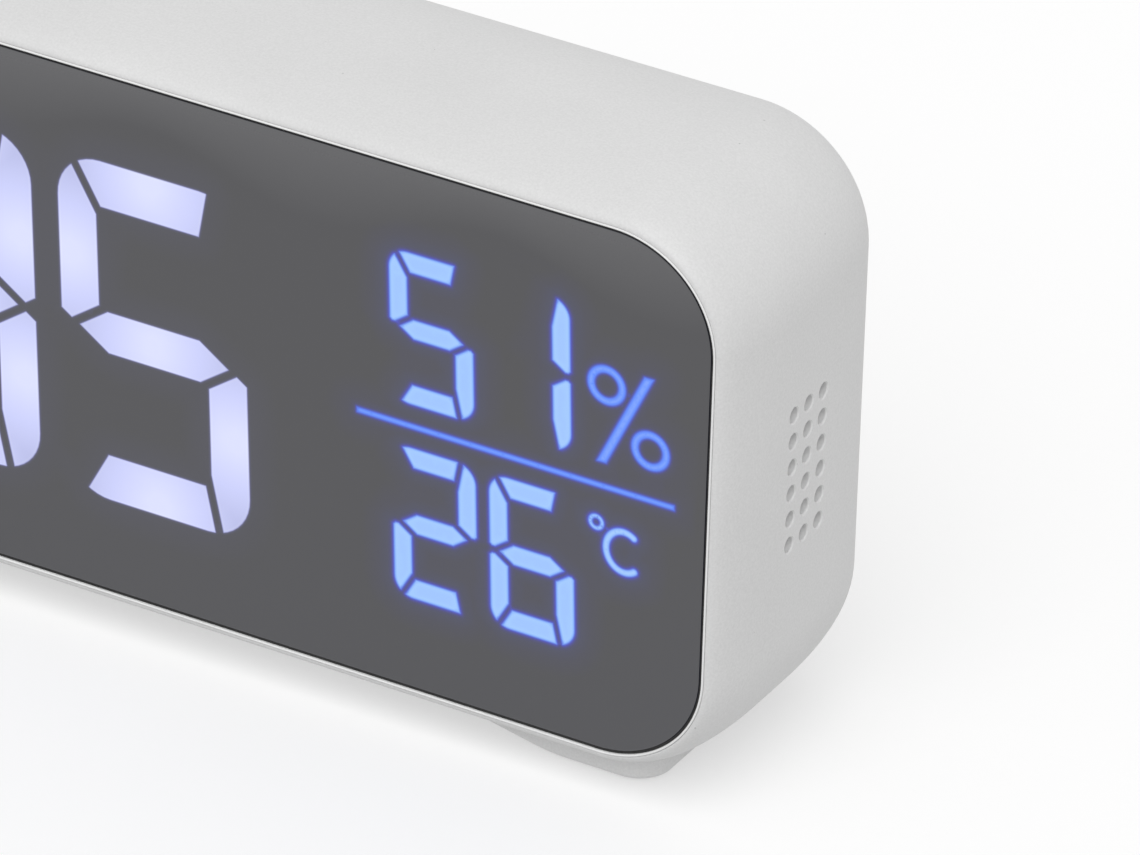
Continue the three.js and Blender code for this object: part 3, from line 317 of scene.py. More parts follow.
def geometry_tree(name, sizes):
    """A tree with geometry in and out, and one named input for each size."""
    tree = bpy.data.node_groups.new(name, "GeometryNodeTree")
    tree.interface.new_socket("Geometry", in_out="INPUT", socket_type="NodeSocketGeometry")
    tree.interface.new_socket("Geometry", in_out="OUTPUT", socket_type="NodeSocketGeometry")
    for label, value in sizes.items():
        tree.interface.new_socket(label, in_out="INPUT", socket_type=SOCKETS[type(value)])
    return tree


def end_tree(tree, geometry, material):
    """Ends a tree: instances become real, and the faces get their material."""
    real = shape_node(tree, "RealizeInstances", Geometry=geometry)
    painted = shape_node(tree, "SetMaterial", Geometry=real, Material=material)
    feed(tree, tree.nodes.new("NodeGroupOutput").inputs[0], painted)


def keep_result(obj):
    """Turns an object and its modifiers into a plain mesh."""
    graph = bpy.context.evaluated_depsgraph_get()
    result = bpy.data.meshes.new_from_object(obj.evaluated_get(graph))
    obj.modifiers.clear()
    obj.data = result


def run_tree(name, guide, tree, sizes):
    """Runs a tree on a guide mesh and returns an object with the plain result."""
    obj = new_object(name, guide)
    modifier = obj.modifiers.new(tree.name, "NODES")
    modifier.node_group = tree
    for item in tree.interface.items_tree:
        if item.in_out == "INPUT" and item.name in sizes:
            modifier[item.identifier] = sizes[item.name]
    keep_result(obj)
    obj.data.name = name
    return obj


def guide_points(name, points, closed=False):
    """A guide mesh of bare points, joined into a closed line if asked."""
    mesh = bpy.data.meshes.new(name)
    count = len(points)
    edges = [(i, (i + 1) % count) for i in range(count)] if closed else []
    mesh.from_pydata(points, edges, [])
    return mesh


print("a size may be of type", [kind.__name__ for kind in SOCKETS])

# %% [markdown]
# ## The camera
# A camera was fitted to the photograph through the edges of the panel and the rows of vents, with an
# error of a tenth of a pixel. It stands about 1.36 m away with a long lens, looks down from the front
# right, and is rolled by not quite two degrees. Its angles and one known point place it here.

# %% Place the camera
PHOTO_W = 1140
FOCAL_PX = 11728.9
SENSOR = 36.0
AZIMUTH = math.radians(29.136)
ELEVATION = math.radians(29.711)
ROLL = math.radians(1.788)
SEEN_POINT = Vector((panel_hi.x, FACE_Y, MID_Z))
SEEN_RIGHT = 15.914 * MM
SEEN_UP = -11.201 * MM
SEEN_AWAY = 1361.70 * MM

toward = Vector((
    math.sin(AZIMUTH) * math.cos(ELEVATION),
    -math.cos(AZIMUTH) * math.cos(ELEVATION),
    math.sin(ELEVATION),
))
level = Vector((math.cos(AZIMUTH), math.sin(AZIMUTH), 0))
upright = toward.cross(level)
right = math.cos(ROLL) * level + math.sin(ROLL) * upright
up = math.cos(ROLL) * upright - math.sin(ROLL) * level
eye = SEEN_POINT - SEEN_RIGHT * right - SEEN_UP * up + SEEN_AWAY * toward

camera_data = bpy.data.cameras.new("camera")
camera_data.sensor_width = SENSOR
camera_data.lens = SENSOR * FOCAL_PX / PHOTO_W
camera = bpy.data.objects.new("camera", camera_data)
camera.matrix_world = Matrix.Translation(eye) @ Matrix((right, up, toward)).transposed().to_4x4()
bpy.context.scene.collection.objects.link(camera)
bpy.context.scene.camera = camera
print("camera at", tuple(round(c, 4) for c in eye), "lens", round(camera_data.lens, 1))

# %% [markdown]
# ## Light and floor
# The clock was photographed in soft, even light on white. A pale sky lights it from all round, a
# little more from the front than from behind, and a broad lamp above the front right brightens the
# top and the side. The eye sees the sky and the open floor as about white, so a colour renders about
# as it is written. To the eye and to the half-mirror the floor also glows a little by itself, which
# leaves the clock's shadow pale. On the clock it throws an even glow and only a small bounce, because
# the photograph's lower edges are darker than white paper would leave them. The half-mirror shows
# this floor, so the dark panel looks mid grey.

# %% Set up the sky
WHITE = (1, 1, 1, 1)
SKY_FRONT = 0.75
SKY_BACK = 0.54

scene = bpy.context.scene
scene.view_settings.view_transform = "Standard"
world = bpy.data.worlds.new("studio")
scene.world = world
world.use_nodes = True
sky_tree = world.node_tree
ray = add_node(sky_tree, "ShaderNodeLightPath").outputs
straight = calculate(sky_tree, "MAXIMUM", ray["Is Camera Ray"], ray["Is Transmission Ray"])
seen = calculate(sky_tree, "MAXIMUM", straight, ray["Is Glossy Ray"])
way = add_node(sky_tree, "ShaderNodeTexCoord").outputs["Generated"]
behind = add_node(sky_tree, "ShaderNodeSeparateXYZ", Vector=way).outputs["Y"]
sky_light = spread(sky_tree, behind, SKY_FRONT, SKY_BACK, -1.0, 1.0)
sky_level = spread(sky_tree, seen, sky_light, 1.0, 0.0, 1.0)
set_inputs(sky_tree, sky_tree.nodes["Background"], Strength=sky_level, Color=WHITE)
print("sky", SKY_FRONT, "in front and", SKY_BACK, "behind")

# %% Set up the lamp
LAMP = 0.455
LAMP_FROM = Vector((0.28, -0.48, 0.83))
LAMP_SPREAD = math.radians(60)

lamp_data = bpy.data.lights.new("overhead_lamp", "SUN")
lamp_data.energy = LAMP * math.pi
lamp_data.angle = LAMP_SPREAD
lamp = bpy.data.objects.new("overhead_lamp", lamp_data)
lamp.rotation_euler = LAMP_FROM.to_track_quat("Z", "Y").to_euler()
scene.collection.objects.link(lamp)
print("lamp", LAMP, "from", tuple(LAMP_FROM))

# %% Lay the floor
FLOOR_WHITE = 0.60
FLOOR_GLOW = 0.38
FLOOR_BOUNCE = 0.20
FLOOR_LIFT = 0.46
FLOOR_HALF = 12.0

floor_mesh = bpy.data.meshes.new("floor")
floor_corners = [(-1, -1), (1, -1), (1, 1), (-1, 1)]
floor_mesh.from_pydata([(FLOOR_HALF * x, FLOOR_HALF * y, 0) for x, y in floor_corners], [], [(0, 1, 2, 3)])
floor_paint = bpy.data.materials.new("floor_paint")
floor_paint.use_nodes = True
floor_tree = floor_paint.node_tree
bounced = add_node(floor_tree, "ShaderNodeLightPath").outputs["Is Diffuse Ray"]
set_inputs(
    floor_tree,
    floor_tree.nodes["Principled BSDF"],
    Base_Color=spread(floor_tree, bounced, FLOOR_WHITE, FLOOR_BOUNCE, 0.0, 1.0),
    Emission_Strength=spread(floor_tree, bounced, FLOOR_GLOW, FLOOR_LIFT, 0.0, 1.0),
    Emission_Color=WHITE,
    Roughness=1.0,
    Specular_IOR_Level=0.0,
)
floor_paint.cycles.emission_sampling = "NONE"
floor = new_object("floor", floor_mesh, floor_paint)
print("floor", FLOOR_WHITE, "glow", FLOOR_GLOW, "bounce", FLOOR_BOUNCE)

# %% [markdown]
# ## Shared finishes
# Moulded plastic is never flat: the mould leaves a fine grain, and handling leaves faint cloudy
# differences in gloss. Both are built once as shader groups. A group only puts out values that change
# over the surface, and each material decides what it does with them.

# %% Shader groups
BRUSH_STRETCH = (0.06, 1.0, 1.0)


def shader_group(name, inputs, outputs):
    """A shader node group with named number inputs and outputs, after one vector input."""
    group = bpy.data.node_groups.new(name, "ShaderNodeTree")
    group.interface.new_socket("Vector", in_out="INPUT", socket_type="NodeSocketVector")
    for label in inputs:
        group.interface.new_socket(label, in_out="INPUT", socket_type="NodeSocketFloat")
    for label in outputs:
        group.interface.new_socket(label, in_out="OUTPUT", socket_type="NodeSocketFloat")
    return group, group.nodes.new("NodeGroupInput").outputs, group.nodes.new("NodeGroupOutput").inputs


def moulded_grain_group():
    """Fine mould grain as a height, and cloudy patches as a tone between 0 and 1."""
    group, given, result = shader_group("moulded_grain", ("Grain", "Patch"), ("Height", "Tone"))
    place = given["Vector"]
    layers = {"Detail": 3.0, "Roughness": 0.6}
    fine = add_node(group, "ShaderNodeTexNoise", Vector=place, Scale=given["Grain"], **layers)
    cloud = add_node(group, "ShaderNodeTexNoise", Vector=place, Scale=given["Patch"], Detail=2.0)
    feed(group, result["Height"], fine.outputs["Fac"])
    feed(group, result["Tone"], cloud.outputs["Fac"])
    return group


def specks_group():
    """A mask of rare tiny specks, as dust or pores leave them: 1 on a speck."""
    group, given, result = shader_group("specks", ("Spacing", "Size"), ("Mask",))
    cells = add_node(group, "ShaderNodeTexVoronoi", Vector=given["Vector"], Scale=given["Spacing"])
    feed(group, result["Mask"], calculate(group, "LESS_THAN", cells.outputs["Distance"], given["Size"]))
    return group


def brushed_group():
    """Fine lines along one direction of plated or rolled metal."""
    group, given, result = shader_group("brushed", ("Lines",), ("Height", "Tone"))
    drawn = add_node(group, "ShaderNodeMapping", Vector=given["Vector"], Scale=BRUSH_STRETCH).outputs[0]
    lines = add_node(group, "ShaderNodeTexNoise", Vector=drawn, Scale=given["Lines"], Detail=2.0)
    for label in ("Height", "Tone"):
        feed(group, result[label], lines.outputs["Fac"])
    return group


MOULDED_GRAIN = moulded_grain_group()
SPECKS = specks_group()
BRUSHED = brushed_group()
print("shader groups", MOULDED_GRAIN.name, SPECKS.name, BRUSHED.name)

# %% [markdown]
# ## Plastic, rubber and metal
# One function makes any moulded finish from two close tones, a range of roughness and the depth of
# its grain. The tones are mixed by the cloudy patches, so even the plain white of the case is never
# one flat colour. Metals use fine lines in place of the grain.

# %% Materials from the groups
PATCH_SHARE = 90
CLOUD_SHARE = 0.35
SPECK_SPACING = 170.0
SPECK_SIZE = 0.021
MIX_INPUTS = (6, 7)
MIX_OUTPUT = 2


def start_material(name):
    """A material with its shader, and its object coordinates."""
    material = bpy.data.materials.new(name)
    material.use_nodes = True
    tree = material.node_tree
    place = tree.nodes.new("ShaderNodeTexCoord").outputs["Object"]
    return material, tree, tree.nodes["Principled BSDF"], place


def use_group(tree, group, place, **values):
    """The outputs of a group that is placed in a material, with its own values."""
    return add_node(tree, "ShaderNodeGroup", {"node_tree": group}, Vector=place, **values).outputs


def mix_colours(tree, factor, first, second, kind="MIX"):
    """Two colours or colour outputs, mixed by a factor in one of the usual ways."""
    mix = add_node(tree, "ShaderNodeMix", {"data_type": "RGBA", "blend_type": kind}, Factor=factor)
    for index, value in zip(MIX_INPUTS, (first, second)):
        feed(tree, mix.inputs[index], value if isinstance(value, bpy.types.NodeSocket) else (*value, 1))
    return mix.outputs[MIX_OUTPUT]


def bump(tree, shader, height, depth):
    """A bump of a given depth in metres."""
    node = add_node(tree, "ShaderNodeBump", Strength=1.0, Distance=depth, Height=height)
    set_inputs(tree, shader, Normal=node.outputs["Normal"])


def moulded(name, tones, rough, grain=3200.0, depth=6e-6, speck=None):
    """Moulded plastic, rubber or foam: two close tones, a range of roughness and a grain."""
    material, tree, shader, place = start_material(name)
    skin = use_group(tree, MOULDED_GRAIN, place, Grain=grain, Patch=grain / PATCH_SHARE)
    cloud = spread(tree, skin["Tone"], 0.0, CLOUD_SHARE)
    pores = spread(tree, skin["Height"], 0.0, 1 - CLOUD_SHARE)
    colour = mix_colours(tree, calculate(tree, "ADD", cloud, pores), *tones)
    if speck:
        dots = use_group(tree, SPECKS, place, Spacing=SPECK_SPACING, Size=SPECK_SIZE)
        colour = mix_colours(tree, dots["Mask"], colour, speck)
    set_inputs(tree, shader, Base_Color=colour, Roughness=spread(tree, skin["Tone"], *rough))
    bump(tree, shader, skin["Height"], depth)
    return material


def plated(name, tones, rough, lines=2600.0, depth=2e-6):
    """Plated or rolled metal with fine lines."""
    material, tree, shader, place = start_material(name)
    skin = use_group(tree, BRUSHED, place, Lines=lines)
    colour = mix_colours(tree, skin["Tone"], *tones)
    shine = spread(tree, skin["Tone"], *rough)
    set_inputs(tree, shader, Base_Color=colour, Roughness=shine, Metallic=1.0)
    bump(tree, shader, skin["Height"], depth)
    return material


def grey(level):
    """A neutral colour."""
    return (level, level, level)


print("tones come", CLOUD_SHARE, "from the clouds and", 1 - CLOUD_SHARE, "from the pores")

# %% Make the finishes
CASE_TONES = (grey(0.604), grey(0.704))
CASE_ROUGH = (0.46, 0.56)
CASE_SPECK = grey(0.47)
CASE_WHITE = moulded("case_white", CASE_TONES, CASE_ROUGH, speck=CASE_SPECK)
KEY_WHITE = moulded("key_white", (grey(0.60), grey(0.63)), (0.42, 0.52))
FOAM_BLACK = moulded("foam_black", (grey(0.016), grey(0.03)), (0.9, 1.0), grain=1500.0, depth=4e-5)
DARK_PLASTIC = moulded("dark_plastic", (grey(0.022), grey(0.034)), (0.5, 0.65))
SWITCH_BLACK = moulded("switch_black", (grey(0.016), grey(0.026)), (0.45, 0.6))
PLUNGER_BROWN = moulded("plunger_brown", ((0.055, 0.036, 0.026), (0.07, 0.048, 0.035)), (0.45, 0.6))
PAD_RUBBER = moulded("pad_rubber", (grey(0.09), grey(0.12)), (0.75, 0.9), grain=2200.0, depth=1.2e-5)
FILM_FROST = moulded("film_frost", ((0.86, 0.88, 0.92), (0.9, 0.92, 0.96)), (0.5, 0.65))
FLEX_WHITE = moulded("flex_white", ((0.68, 0.7, 0.73), (0.74, 0.76, 0.79)), (0.35, 0.5))
PLAIN_STEEL = plated("plain_steel", (grey(0.56), grey(0.66)), (0.24, 0.36))
COPPER_FOIL = plated("copper_foil", ((0.52, 0.28, 0.15), (0.62, 0.36, 0.21)), (0.3, 0.45))
print("finishes", len(bpy.data.materials))

# %% [markdown]
# ## The case: one section swept round the front
# The sleeve is moulded in one shot. Its wall has the same section all the way round: a thin bead that
# frames the panel and catches the light, a fine crease, a side that swells by a quarter of an ellipse,
# a flat belly, and the same again to the rear rim, with a ledge inside for the panel. So it is one
# closed section, swept round a rounded rectangle by Geometry Nodes. The points crowd together near
# the rims, where the ellipse turns fastest.

# %% Draw the section of the case wall
EDGE_STEPS = 30
EDGE_CROWD = 1.5
RIM_ROUND = 0.09 * MM
RIM_STEPS = 3
BEAD_R = BEAD_W / 2
BEAD_STEPS = 8
GROOVE_DEPTH = 0.26 * MM
CREASE = 0.13 * MM
LEDGE_FRONT = PANEL_T + 0.4 * MM
LEDGE_BACK = LEDGE_FRONT + 2.0 * MM
LEDGE_REACH = 3.3 * MM
FRONT_RIM = case_lo.y - FACE_Y
REAR_RIM = case_hi.y - FACE_Y


def swelling():
    """How far the wall stands outside the rim, with the depth behind it, along one quarter ellipse."""
    steps = []
    for i in range(EDGE_STEPS + 1):
        turn = QUARTER * (i / EDGE_STEPS) ** EDGE_CROWD
        steps.append((CASE_BULGE * math.sin(turn), CASE_EDGE * (1 - math.cos(turn))))
    return steps


def case_section():
    """The wall as (outwards from the bore, depth behind the panel's face)."""
    turns = [math.pi * (1 - i / BEAD_STEPS) for i in range(BEAD_STEPS + 1)]
    front = [(BEAD_R * (1 + math.cos(t)), FRONT_RIM + BEAD_R * (1 - math.sin(t))) for t in turns]
    front.append((BEAD_W + GROOVE_W / 3, FRONT_RIM + GROOVE_DEPTH))
    squeeze = 1 - CREASE / CASE_EDGE
    side = [(RIM_LAND + out, FRONT_RIM + CREASE + squeeze * depth) for out, depth in swelling()]
    side += [(RIM_LAND + out, REAR_RIM - depth) for out, depth in reversed(swelling())]
    rear = [(inset, REAR_RIM - sink) for inset, sink in round_edge(RIM_ROUND, RIM_STEPS)]
    ledge = [(0, LEDGE_BACK), (-LEDGE_REACH, LEDGE_BACK), (-LEDGE_REACH, LEDGE_FRONT), (0, LEDGE_FRONT)]
    return front + side + rear + ledge


section = case_section()
print("section points", len(section))

# %% [markdown]
# Eighteen vents go through the right side, in front of the climate sensor. A grid of points carries a
# plain drill and a wider, shallow countersink for each hole, and two boolean nodes take them out of
# the wall. The countersink leaves the small bright edge that such holes have. White plastic lets some
# light through, so the walls of the vents aren't as dark as plain holes in a solid would be: that light
# is painted into their colour, which is lighter there. The top of the bead gets a painted highlight.

# %% Finish of the vented wall, with painted light and a painted highlight
VENT_R = 1.0 * MM
VENT_PITCH = 3.5 * MM
VENT_COLUMNS = 3
VENT_ROWS = 6
VENT_MARGIN = 0.4
VENT_DEPTH = 9.0 * MM
VENT_EDGE = 0.17 * MM
# Painted light: a lighter colour inside the vents, and a painted highlight along the top of the bead.
VENT_PAINTED_LIGHT = grey(0.76)
BEAD_PAINTED_HIGHLIGHT = grey(0.79)
BEAD_HIGHLIGHT_FADE = (0.07 * MM, 0.11 * MM)
vent_middle = (case_hi.x, (case_lo.y + case_hi.y) / 2, MID_Z)


def vented_white():
    """The white of the case, with painted light in the vents and a painted highlight on the bead."""
    material = moulded("case_vented", CASE_TONES, CASE_ROUGH, speck=CASE_SPECK)
    tree = material.node_tree
    colour = tree.nodes["Principled BSDF"].inputs["Base Color"]
    plain = colour.links[0].from_socket
    where = tree.nodes["Texture Coordinate"].outputs["Object"]
    place = add_node(tree, "ShaderNodeSeparateXYZ", Vector=where).outputs
    within = spread(tree, place["X"], 1.0, 0.0, case_hi.x - 3 * VENT_EDGE, case_hi.x - VENT_EDGE)
    across, upwards = ((count + VENT_MARGIN) / 2 * VENT_PITCH for count in (VENT_COLUMNS, VENT_ROWS))
    for axis, middle, reach in zip("XYZ", vent_middle, (VENT_DEPTH, across, upwards)):
        near = calculate(tree, "COMPARE", place[axis], middle, reach)
        within = calculate(tree, "MULTIPLY", within, near)
    # Painted light inside the vents, then the painted highlight along the top of the bead.
    vented = mix_colours(tree, within, plain, VENT_PAINTED_LIGHT)
    bead_highlight_mask = spread(tree, place["Y"], 1.0, 0.0, *(case_lo.y + fade for fade in BEAD_HIGHLIGHT_FADE))
    feed(tree, colour, mix_colours(tree, bead_highlight_mask, vented, BEAD_PAINTED_HIGHLIGHT))
    return material


CASE_VENTED = vented_white()
print("vents", VENT_COLUMNS * VENT_ROWS, "in", CASE_VENTED.name)

# %% Sweep the case and drill its vents
CORNER_STEPS = 24
VENT_SIDES = 40
ACROSS = (0, QUARTER, 0)
CUT = {"operation": "DIFFERENCE", "solver": "EXACT"}


def case_tree(sizes):
    """Sweeps the guide's section round the bore, then drills the vents."""
    tree = geometry_tree("swept_case", sizes)
    size = tree.nodes.new("NodeGroupInput").outputs
    wall = shape_node(tree, "MeshToCurve", Mesh=size["Geometry"])
    path = shape_node(tree, "CurvePrimitiveQuadrilateral", Width=size["Width"], Height=size["Height"])
    corners = {"Count": CORNER_STEPS, "Radius": size["Radius"]}
    soft = shape_node(tree, "FilletCurve", {"mode": "POLY"}, Curve=path, **corners)
    sweep = shape_node(tree, "CurveToMesh", Curve=soft, Profile_Curve=wall)
    upright = {"Translation": size["Middle"], "Rotation": (QUARTER, 0, 0)}
    standing = shape_node(tree, "Transform", Geometry=sweep, **upright)
    shape = shape_node(tree, "MergeByDistance", Geometry=standing, Distance=WELD)
    spans = {"Size_X": (VENT_ROWS - 1) * VENT_PITCH, "Size_Y": (VENT_COLUMNS - 1) * VENT_PITCH}
    grid = shape_node(tree, "MeshGrid", Vertices_X=VENT_ROWS, Vertices_Y=VENT_COLUMNS, **spans)
    field = shape_node(tree, "Transform", Geometry=grid, Translation=size["Vents"], Rotation=ACROSS)
    drill = shape_node(tree, "MeshCylinder", Vertices=VENT_SIDES, Radius=size["Vent"], Depth=VENT_DEPTH)
    ends = {"Radius_Bottom": VENT_R - VENT_EDGE, "Radius_Top": VENT_R + 3 * VENT_EDGE}
    sink = shape_node(tree, "MeshCone", Vertices=VENT_SIDES, Depth=4 * VENT_EDGE, **ends)
    sunk = shape_node(tree, "Transform", Geometry=sink, Translation=(0, 0, -2 * VENT_EDGE))
    for tool in (drill, sunk):
        placed = shape_node(tree, "InstanceOnPoints", Points=field, Instance=tool, Rotation=ACROSS)
        real = shape_node(tree, "RealizeInstances", Geometry=placed)
        shape = shape_node(tree, "MeshBoolean", CUT, Mesh_1=shape, Mesh_2=real)
    end_tree(tree, shape, CASE_VENTED)
    return tree


case_sizes = {
    "Width": 2 * (PANEL_HALF_X + PANEL_GAP),
    "Height": 2 * (PANEL_HALF_Z + PANEL_GAP),
    "Radius": BORE_R,
    "Middle": (0.0, FACE_Y, MID_Z),
    "Vents": vent_middle,
    "Vent": VENT_R,
}
wall_guide = guide_points("case_section", [(u, y, 0) for u, y in section], closed=True)
case_body = run_tree("case_body", wall_guide, case_tree(case_sizes), case_sizes)
print("case", len(case_body.data.polygons), "faces")

# %% [markdown]
# ## The feet
# Both feet are moulded with the case: a block with rounded corners, a flat underside, and a slope at
# its inner end that runs out into the belly. A soft hollow joins it to the case, so each foot is a
# stack of loops that starts tangent to the belly's own surface, turns down into the wall and rolls
# over into the underside. The belly is known as a formula, so the loops can follow it exactly.

# %% Measure the belly
FOOT_BOTTOM = case_lo.z
FOOT_OUTER = panel_hi.x - 7.9 * MM
FOOT_FLAT = 14.2 * MM
FOOT_RAMP = 15.5 * MM
FOOT_SLOPE = 0.2
FOOT_BLEND = 0.5 * MM
FOOT_TUCK = 0.02 * MM


def swell_at(y):
    """How far the case stands outside its rim at a depth."""
    depth = max(0.0, min(y - case_lo.y, case_hi.y - y))
    if depth >= CASE_EDGE:
        return CASE_BULGE
    return CASE_BULGE * math.sqrt(1 - (1 - depth / CASE_EDGE) ** 2)


def belly_below(x, y):
    """Height of the case's underside at a place."""
    radius = RIM_R + swell_at(y)
    reach = max(0.0, abs(x) - CORNER_X)
    return MID_Z - CORNER_Z - math.sqrt(max(radius ** 2 - reach ** 2, 0.0))


def soft_lower(a, b, width):
    """The lower of two heights, with a soft corner where they cross."""
    share = min(1.0, max(0.0, 0.5 + 0.5 * (b - a) / width))
    return b + (a - b) * share - width * share * (1 - share)


def foot_floor(x, y):
    """Height of a foot's underside: flat, then sloped, then just inside the belly."""
    heel = FOOT_OUTER - FOOT_FLAT
    ramp = FOOT_BOTTOM + FOOT_SLOPE * (heel - abs(x))
    sloped = -soft_lower(-FOOT_BOTTOM, -ramp, FOOT_BLEND)
    return soft_lower(sloped, belly_below(x, y) + FOOT_TUCK, FOOT_BLEND)


print("belly at height", round(belly_below(0, 0), 5), "feet at", round(FOOT_BOTTOM, 5))

# %% Even points along a loop
def subdivide(loop, longest):
    """A closed loop with extra points on its long edges and without repeated points."""
    points = []
    for (u0, v0), (u1, v1) in zip(loop, loop[1:] + loop[:1]):
        length = math.hypot(u1 - u0, v1 - v0)
        if length < WELD:
            continue
        count = max(1, math.ceil(length / longest))
        points += [(u0 + (u1 - u0) * i / count, v0 + (v1 - v0) * i / count) for i in range(count)]
    return points


def plan_normals(plan):
    """Outward normals of a counter-clockwise loop, each between its two edges."""
    along = np.roll(plan, -1, axis=0) - np.roll(plan, 1, axis=0)
    normals = np.stack([along[:, 1], -along[:, 0]], axis=1)
    return normals / np.linalg.norm(normals, axis=1)[:, None]


unit_square = [(0, 0), (1, 0), (1, 1), (0, 1)]
print("a unit square in quarter steps has", len(subdivide(unit_square, 0.25)), "points")

# %% Build one foot
FOOT_SETBACK = 3.8 * MM
FOOT_R = 4.5 * MM
FOOT_HOLLOW = 0.4 * MM
FOOT_ROLL = 0.6 * MM
LID_TUCK = 0.09 * MM
FOOT_LAPS = ((0.4 * MM, LID_TUCK), (0.1 * MM, FOOT_TUCK))
FOOT_TURNS = 8
FOOT_CORNER = 14
FOOT_STEP = 0.8 * MM
FOOT_ROW = 1.6 * MM
FOOT_MARGIN = (1.2 * MM, 1.0 * MM)
FOOT_KEEP = 0.93


def foot_line(x, y, nx, ny):
    """Points at one place of a foot's wall: inside the belly, round the hollow and round the roll."""
    height = max(0.0, belly_below(x, y) - foot_floor(x, y))
    share = min(1.0, height / (FOOT_HOLLOW + FOOT_ROLL))
    hollow, roll = FOOT_HOLLOW * share, FOOT_ROLL * share

    def point(out, surface, lift):
        u, v = x + nx * out, y + ny * out
        return (u, v, surface(u, v) + lift)

    turns = quarter_turn(FOOT_TURNS)
    line = [point(hollow + lap, belly_below, tuck) for lap, tuck in FOOT_LAPS]
    line += [point(hollow * (1 - math.sin(t)), belly_below, -hollow * (1 - math.cos(t))) for t in turns]
    line += [point(-roll * (1 - math.cos(t)), foot_floor, roll * (1 - math.sin(t))) for t in turns]
    return line


def foot_mesh(bm, side):
    """Adds one foot to a mesh."""
    half_x = (FOOT_FLAT + FOOT_RAMP) / 2
    half_y = (case_hi.y - case_lo.y) / 2 - FOOT_SETBACK
    middle = (side * (FOOT_OUTER - half_x), (case_lo.y + case_hi.y) / 2)
    plan = np.array(subdivide(rounded_loop(*middle, half_x, half_y, FOOT_R, FOOT_CORNER), FOOT_STEP))
    lines = [foot_line(*place, *outwards) for place, outwards in zip(plan, plan_normals(plan))]
    loops = [[line[k] for line in lines] for k in range(len(lines[0]))]
    stack(bm, loops)
    first, last = FOOT_MARGIN
    xs = np.arange(-half_x + first, half_x - last, FOOT_STEP) + middle[0]
    ys = np.arange(-half_y + first, half_y - last, FOOT_ROW) + middle[1]
    grid = [(x, y) for x in xs for y in ys]
    shrunk = [(middle[0] + FOOT_KEEP * u, middle[1] + FOOT_KEEP * v) for u, v in plan - np.array(middle)]
    spots = [p for p, kept in zip(grid, inside(grid, shrunk)) if kept]
    rim, lid = ([(x, y) for x, y, _ in loop] for loop in (loops[-1], loops[0]))
    cap(bm, lambda x, y: (x, y, foot_floor(x, y)), [rim], extra=spots)
    cap(bm, lambda x, y: (x, y, belly_below(x, y) + LID_TUCK), [lid], extra=spots)


print("points down a foot's wall", len(FOOT_LAPS) + 2 * (FOOT_TURNS + 1))

# %% Join the feet to the case
bm = bmesh.new()
for side in (-1, 1):
    foot_mesh(bm, side)
close_mesh(bm)
bm.from_mesh(case_body.data)
case_mesh = bpy.data.meshes.new("case_body")
bm.to_mesh(case_mesh)
bm.free()
shade(case_mesh)
case_mesh.materials.append(CASE_VENTED)
case_body.data = case_mesh
dress(case_body, "housing", "white_plastic", "case_shell")

# %% [markdown]
# ## The lit artwork behind the half-mirror
# Lamps behind a dark block light four large digits and a colon in white, and two rows of small digits
# with their units in blue. The segments are drawn here as outlines, in millimetres from the middle of
# the panel. Each digit has seven segments with slanted cuts between them. Its outer corners are
# rounded, and the posts are nipped off at the waist. The whole artwork leans by two and a half degrees.

# %% Sizes of the artwork in millimetres
DIGIT = {
    "width": 25.7, "height": 45.6, "bar": 6.05, "post": 5.26, "middle": 5.5,
    "corner": 6.0, "cut": 1.2, "waist": 0.65, "nip": (1.4, 0.95),
}
SMALL = {
    "width": 11.42, "height": 20.34, "bar": 2.65, "post": 2.46, "middle": 2.6,
    "corner": 2.6, "cut": 0.8, "waist": 0.5, "nip": (0.3, 0.3),
}
UPPER_SCALE = 0.989
UPPER_ROW = 13.14
LOWER_ROW = -12.92
DIGIT_PITCH = 29.5
COLON_PITCH = 35.5
COLON_R = 2.5
COLON_RISE = 9.0
LEFT_MARGIN = 20.0
SMALL_PITCH = 13.2
SMALL_FIRST = 58.05
ONE_SHIFT = -0.06
DIVIDER_T = 0.68
DIVIDER_RISE = 0.155
DIVIDER = (47.6, 90.6)
LEAN = math.tan(math.radians(2.5))
RISE = 0.57
LEFT_CUT = (1.0, 0.35)
RIGHT_CUT = (1.05, 0.82)
MIDDLE_CUT = 0.28
MIDDLE_SLOPE = 0.7
POST_LAMP = 0.417
SEGMENTS = {"1": "bc", "2": "abged", "3": "abgcd", "5": "afgcd", "6": "afgecd"}
TIME = "1235"
HUMIDITY = "51"
WARMTH = "26"
PERCENT = {
    "slash": (84.13, 3.32), "height": 12.94, "run": 6.53, "stroke": 1.28,
    "middle": (84.58, 10.2), "apart": (2.9, 3.46), "radii": (2.58, 1.6),
}
DEGREE = {
    "middle": (83.77, -7.86), "ring": (-3.7, 2.95), "radii": (1.06, 0.54), "ring_steps": 24,
    "half": (2.42, 2.7), "stroke": 0.88, "opening": math.radians(56),
}
panel_half = panel_hi.x / MM
print("large digits", DIGIT["width"], "by", DIGIT["height"], "small", SMALL["width"], "by", SMALL["height"])

# %% Outlines of one digit
TIP = 0.01
TINY = 1e-9


def slanted_cut(start, end, width):
    """The cut between two segments: its x at a height and its height at an x, on either side."""
    (x0, z0), (x1, z1) = start, end
    slope = (x1 - x0) / (z1 - z0)
    shift = width / 2 * math.hypot(1, slope)

    def across(z, side):
        return x0 + (z - z0) * slope + side * shift

    def along(x, side):
        return z0 + (x - side * shift - x0) / slope

    return across, along


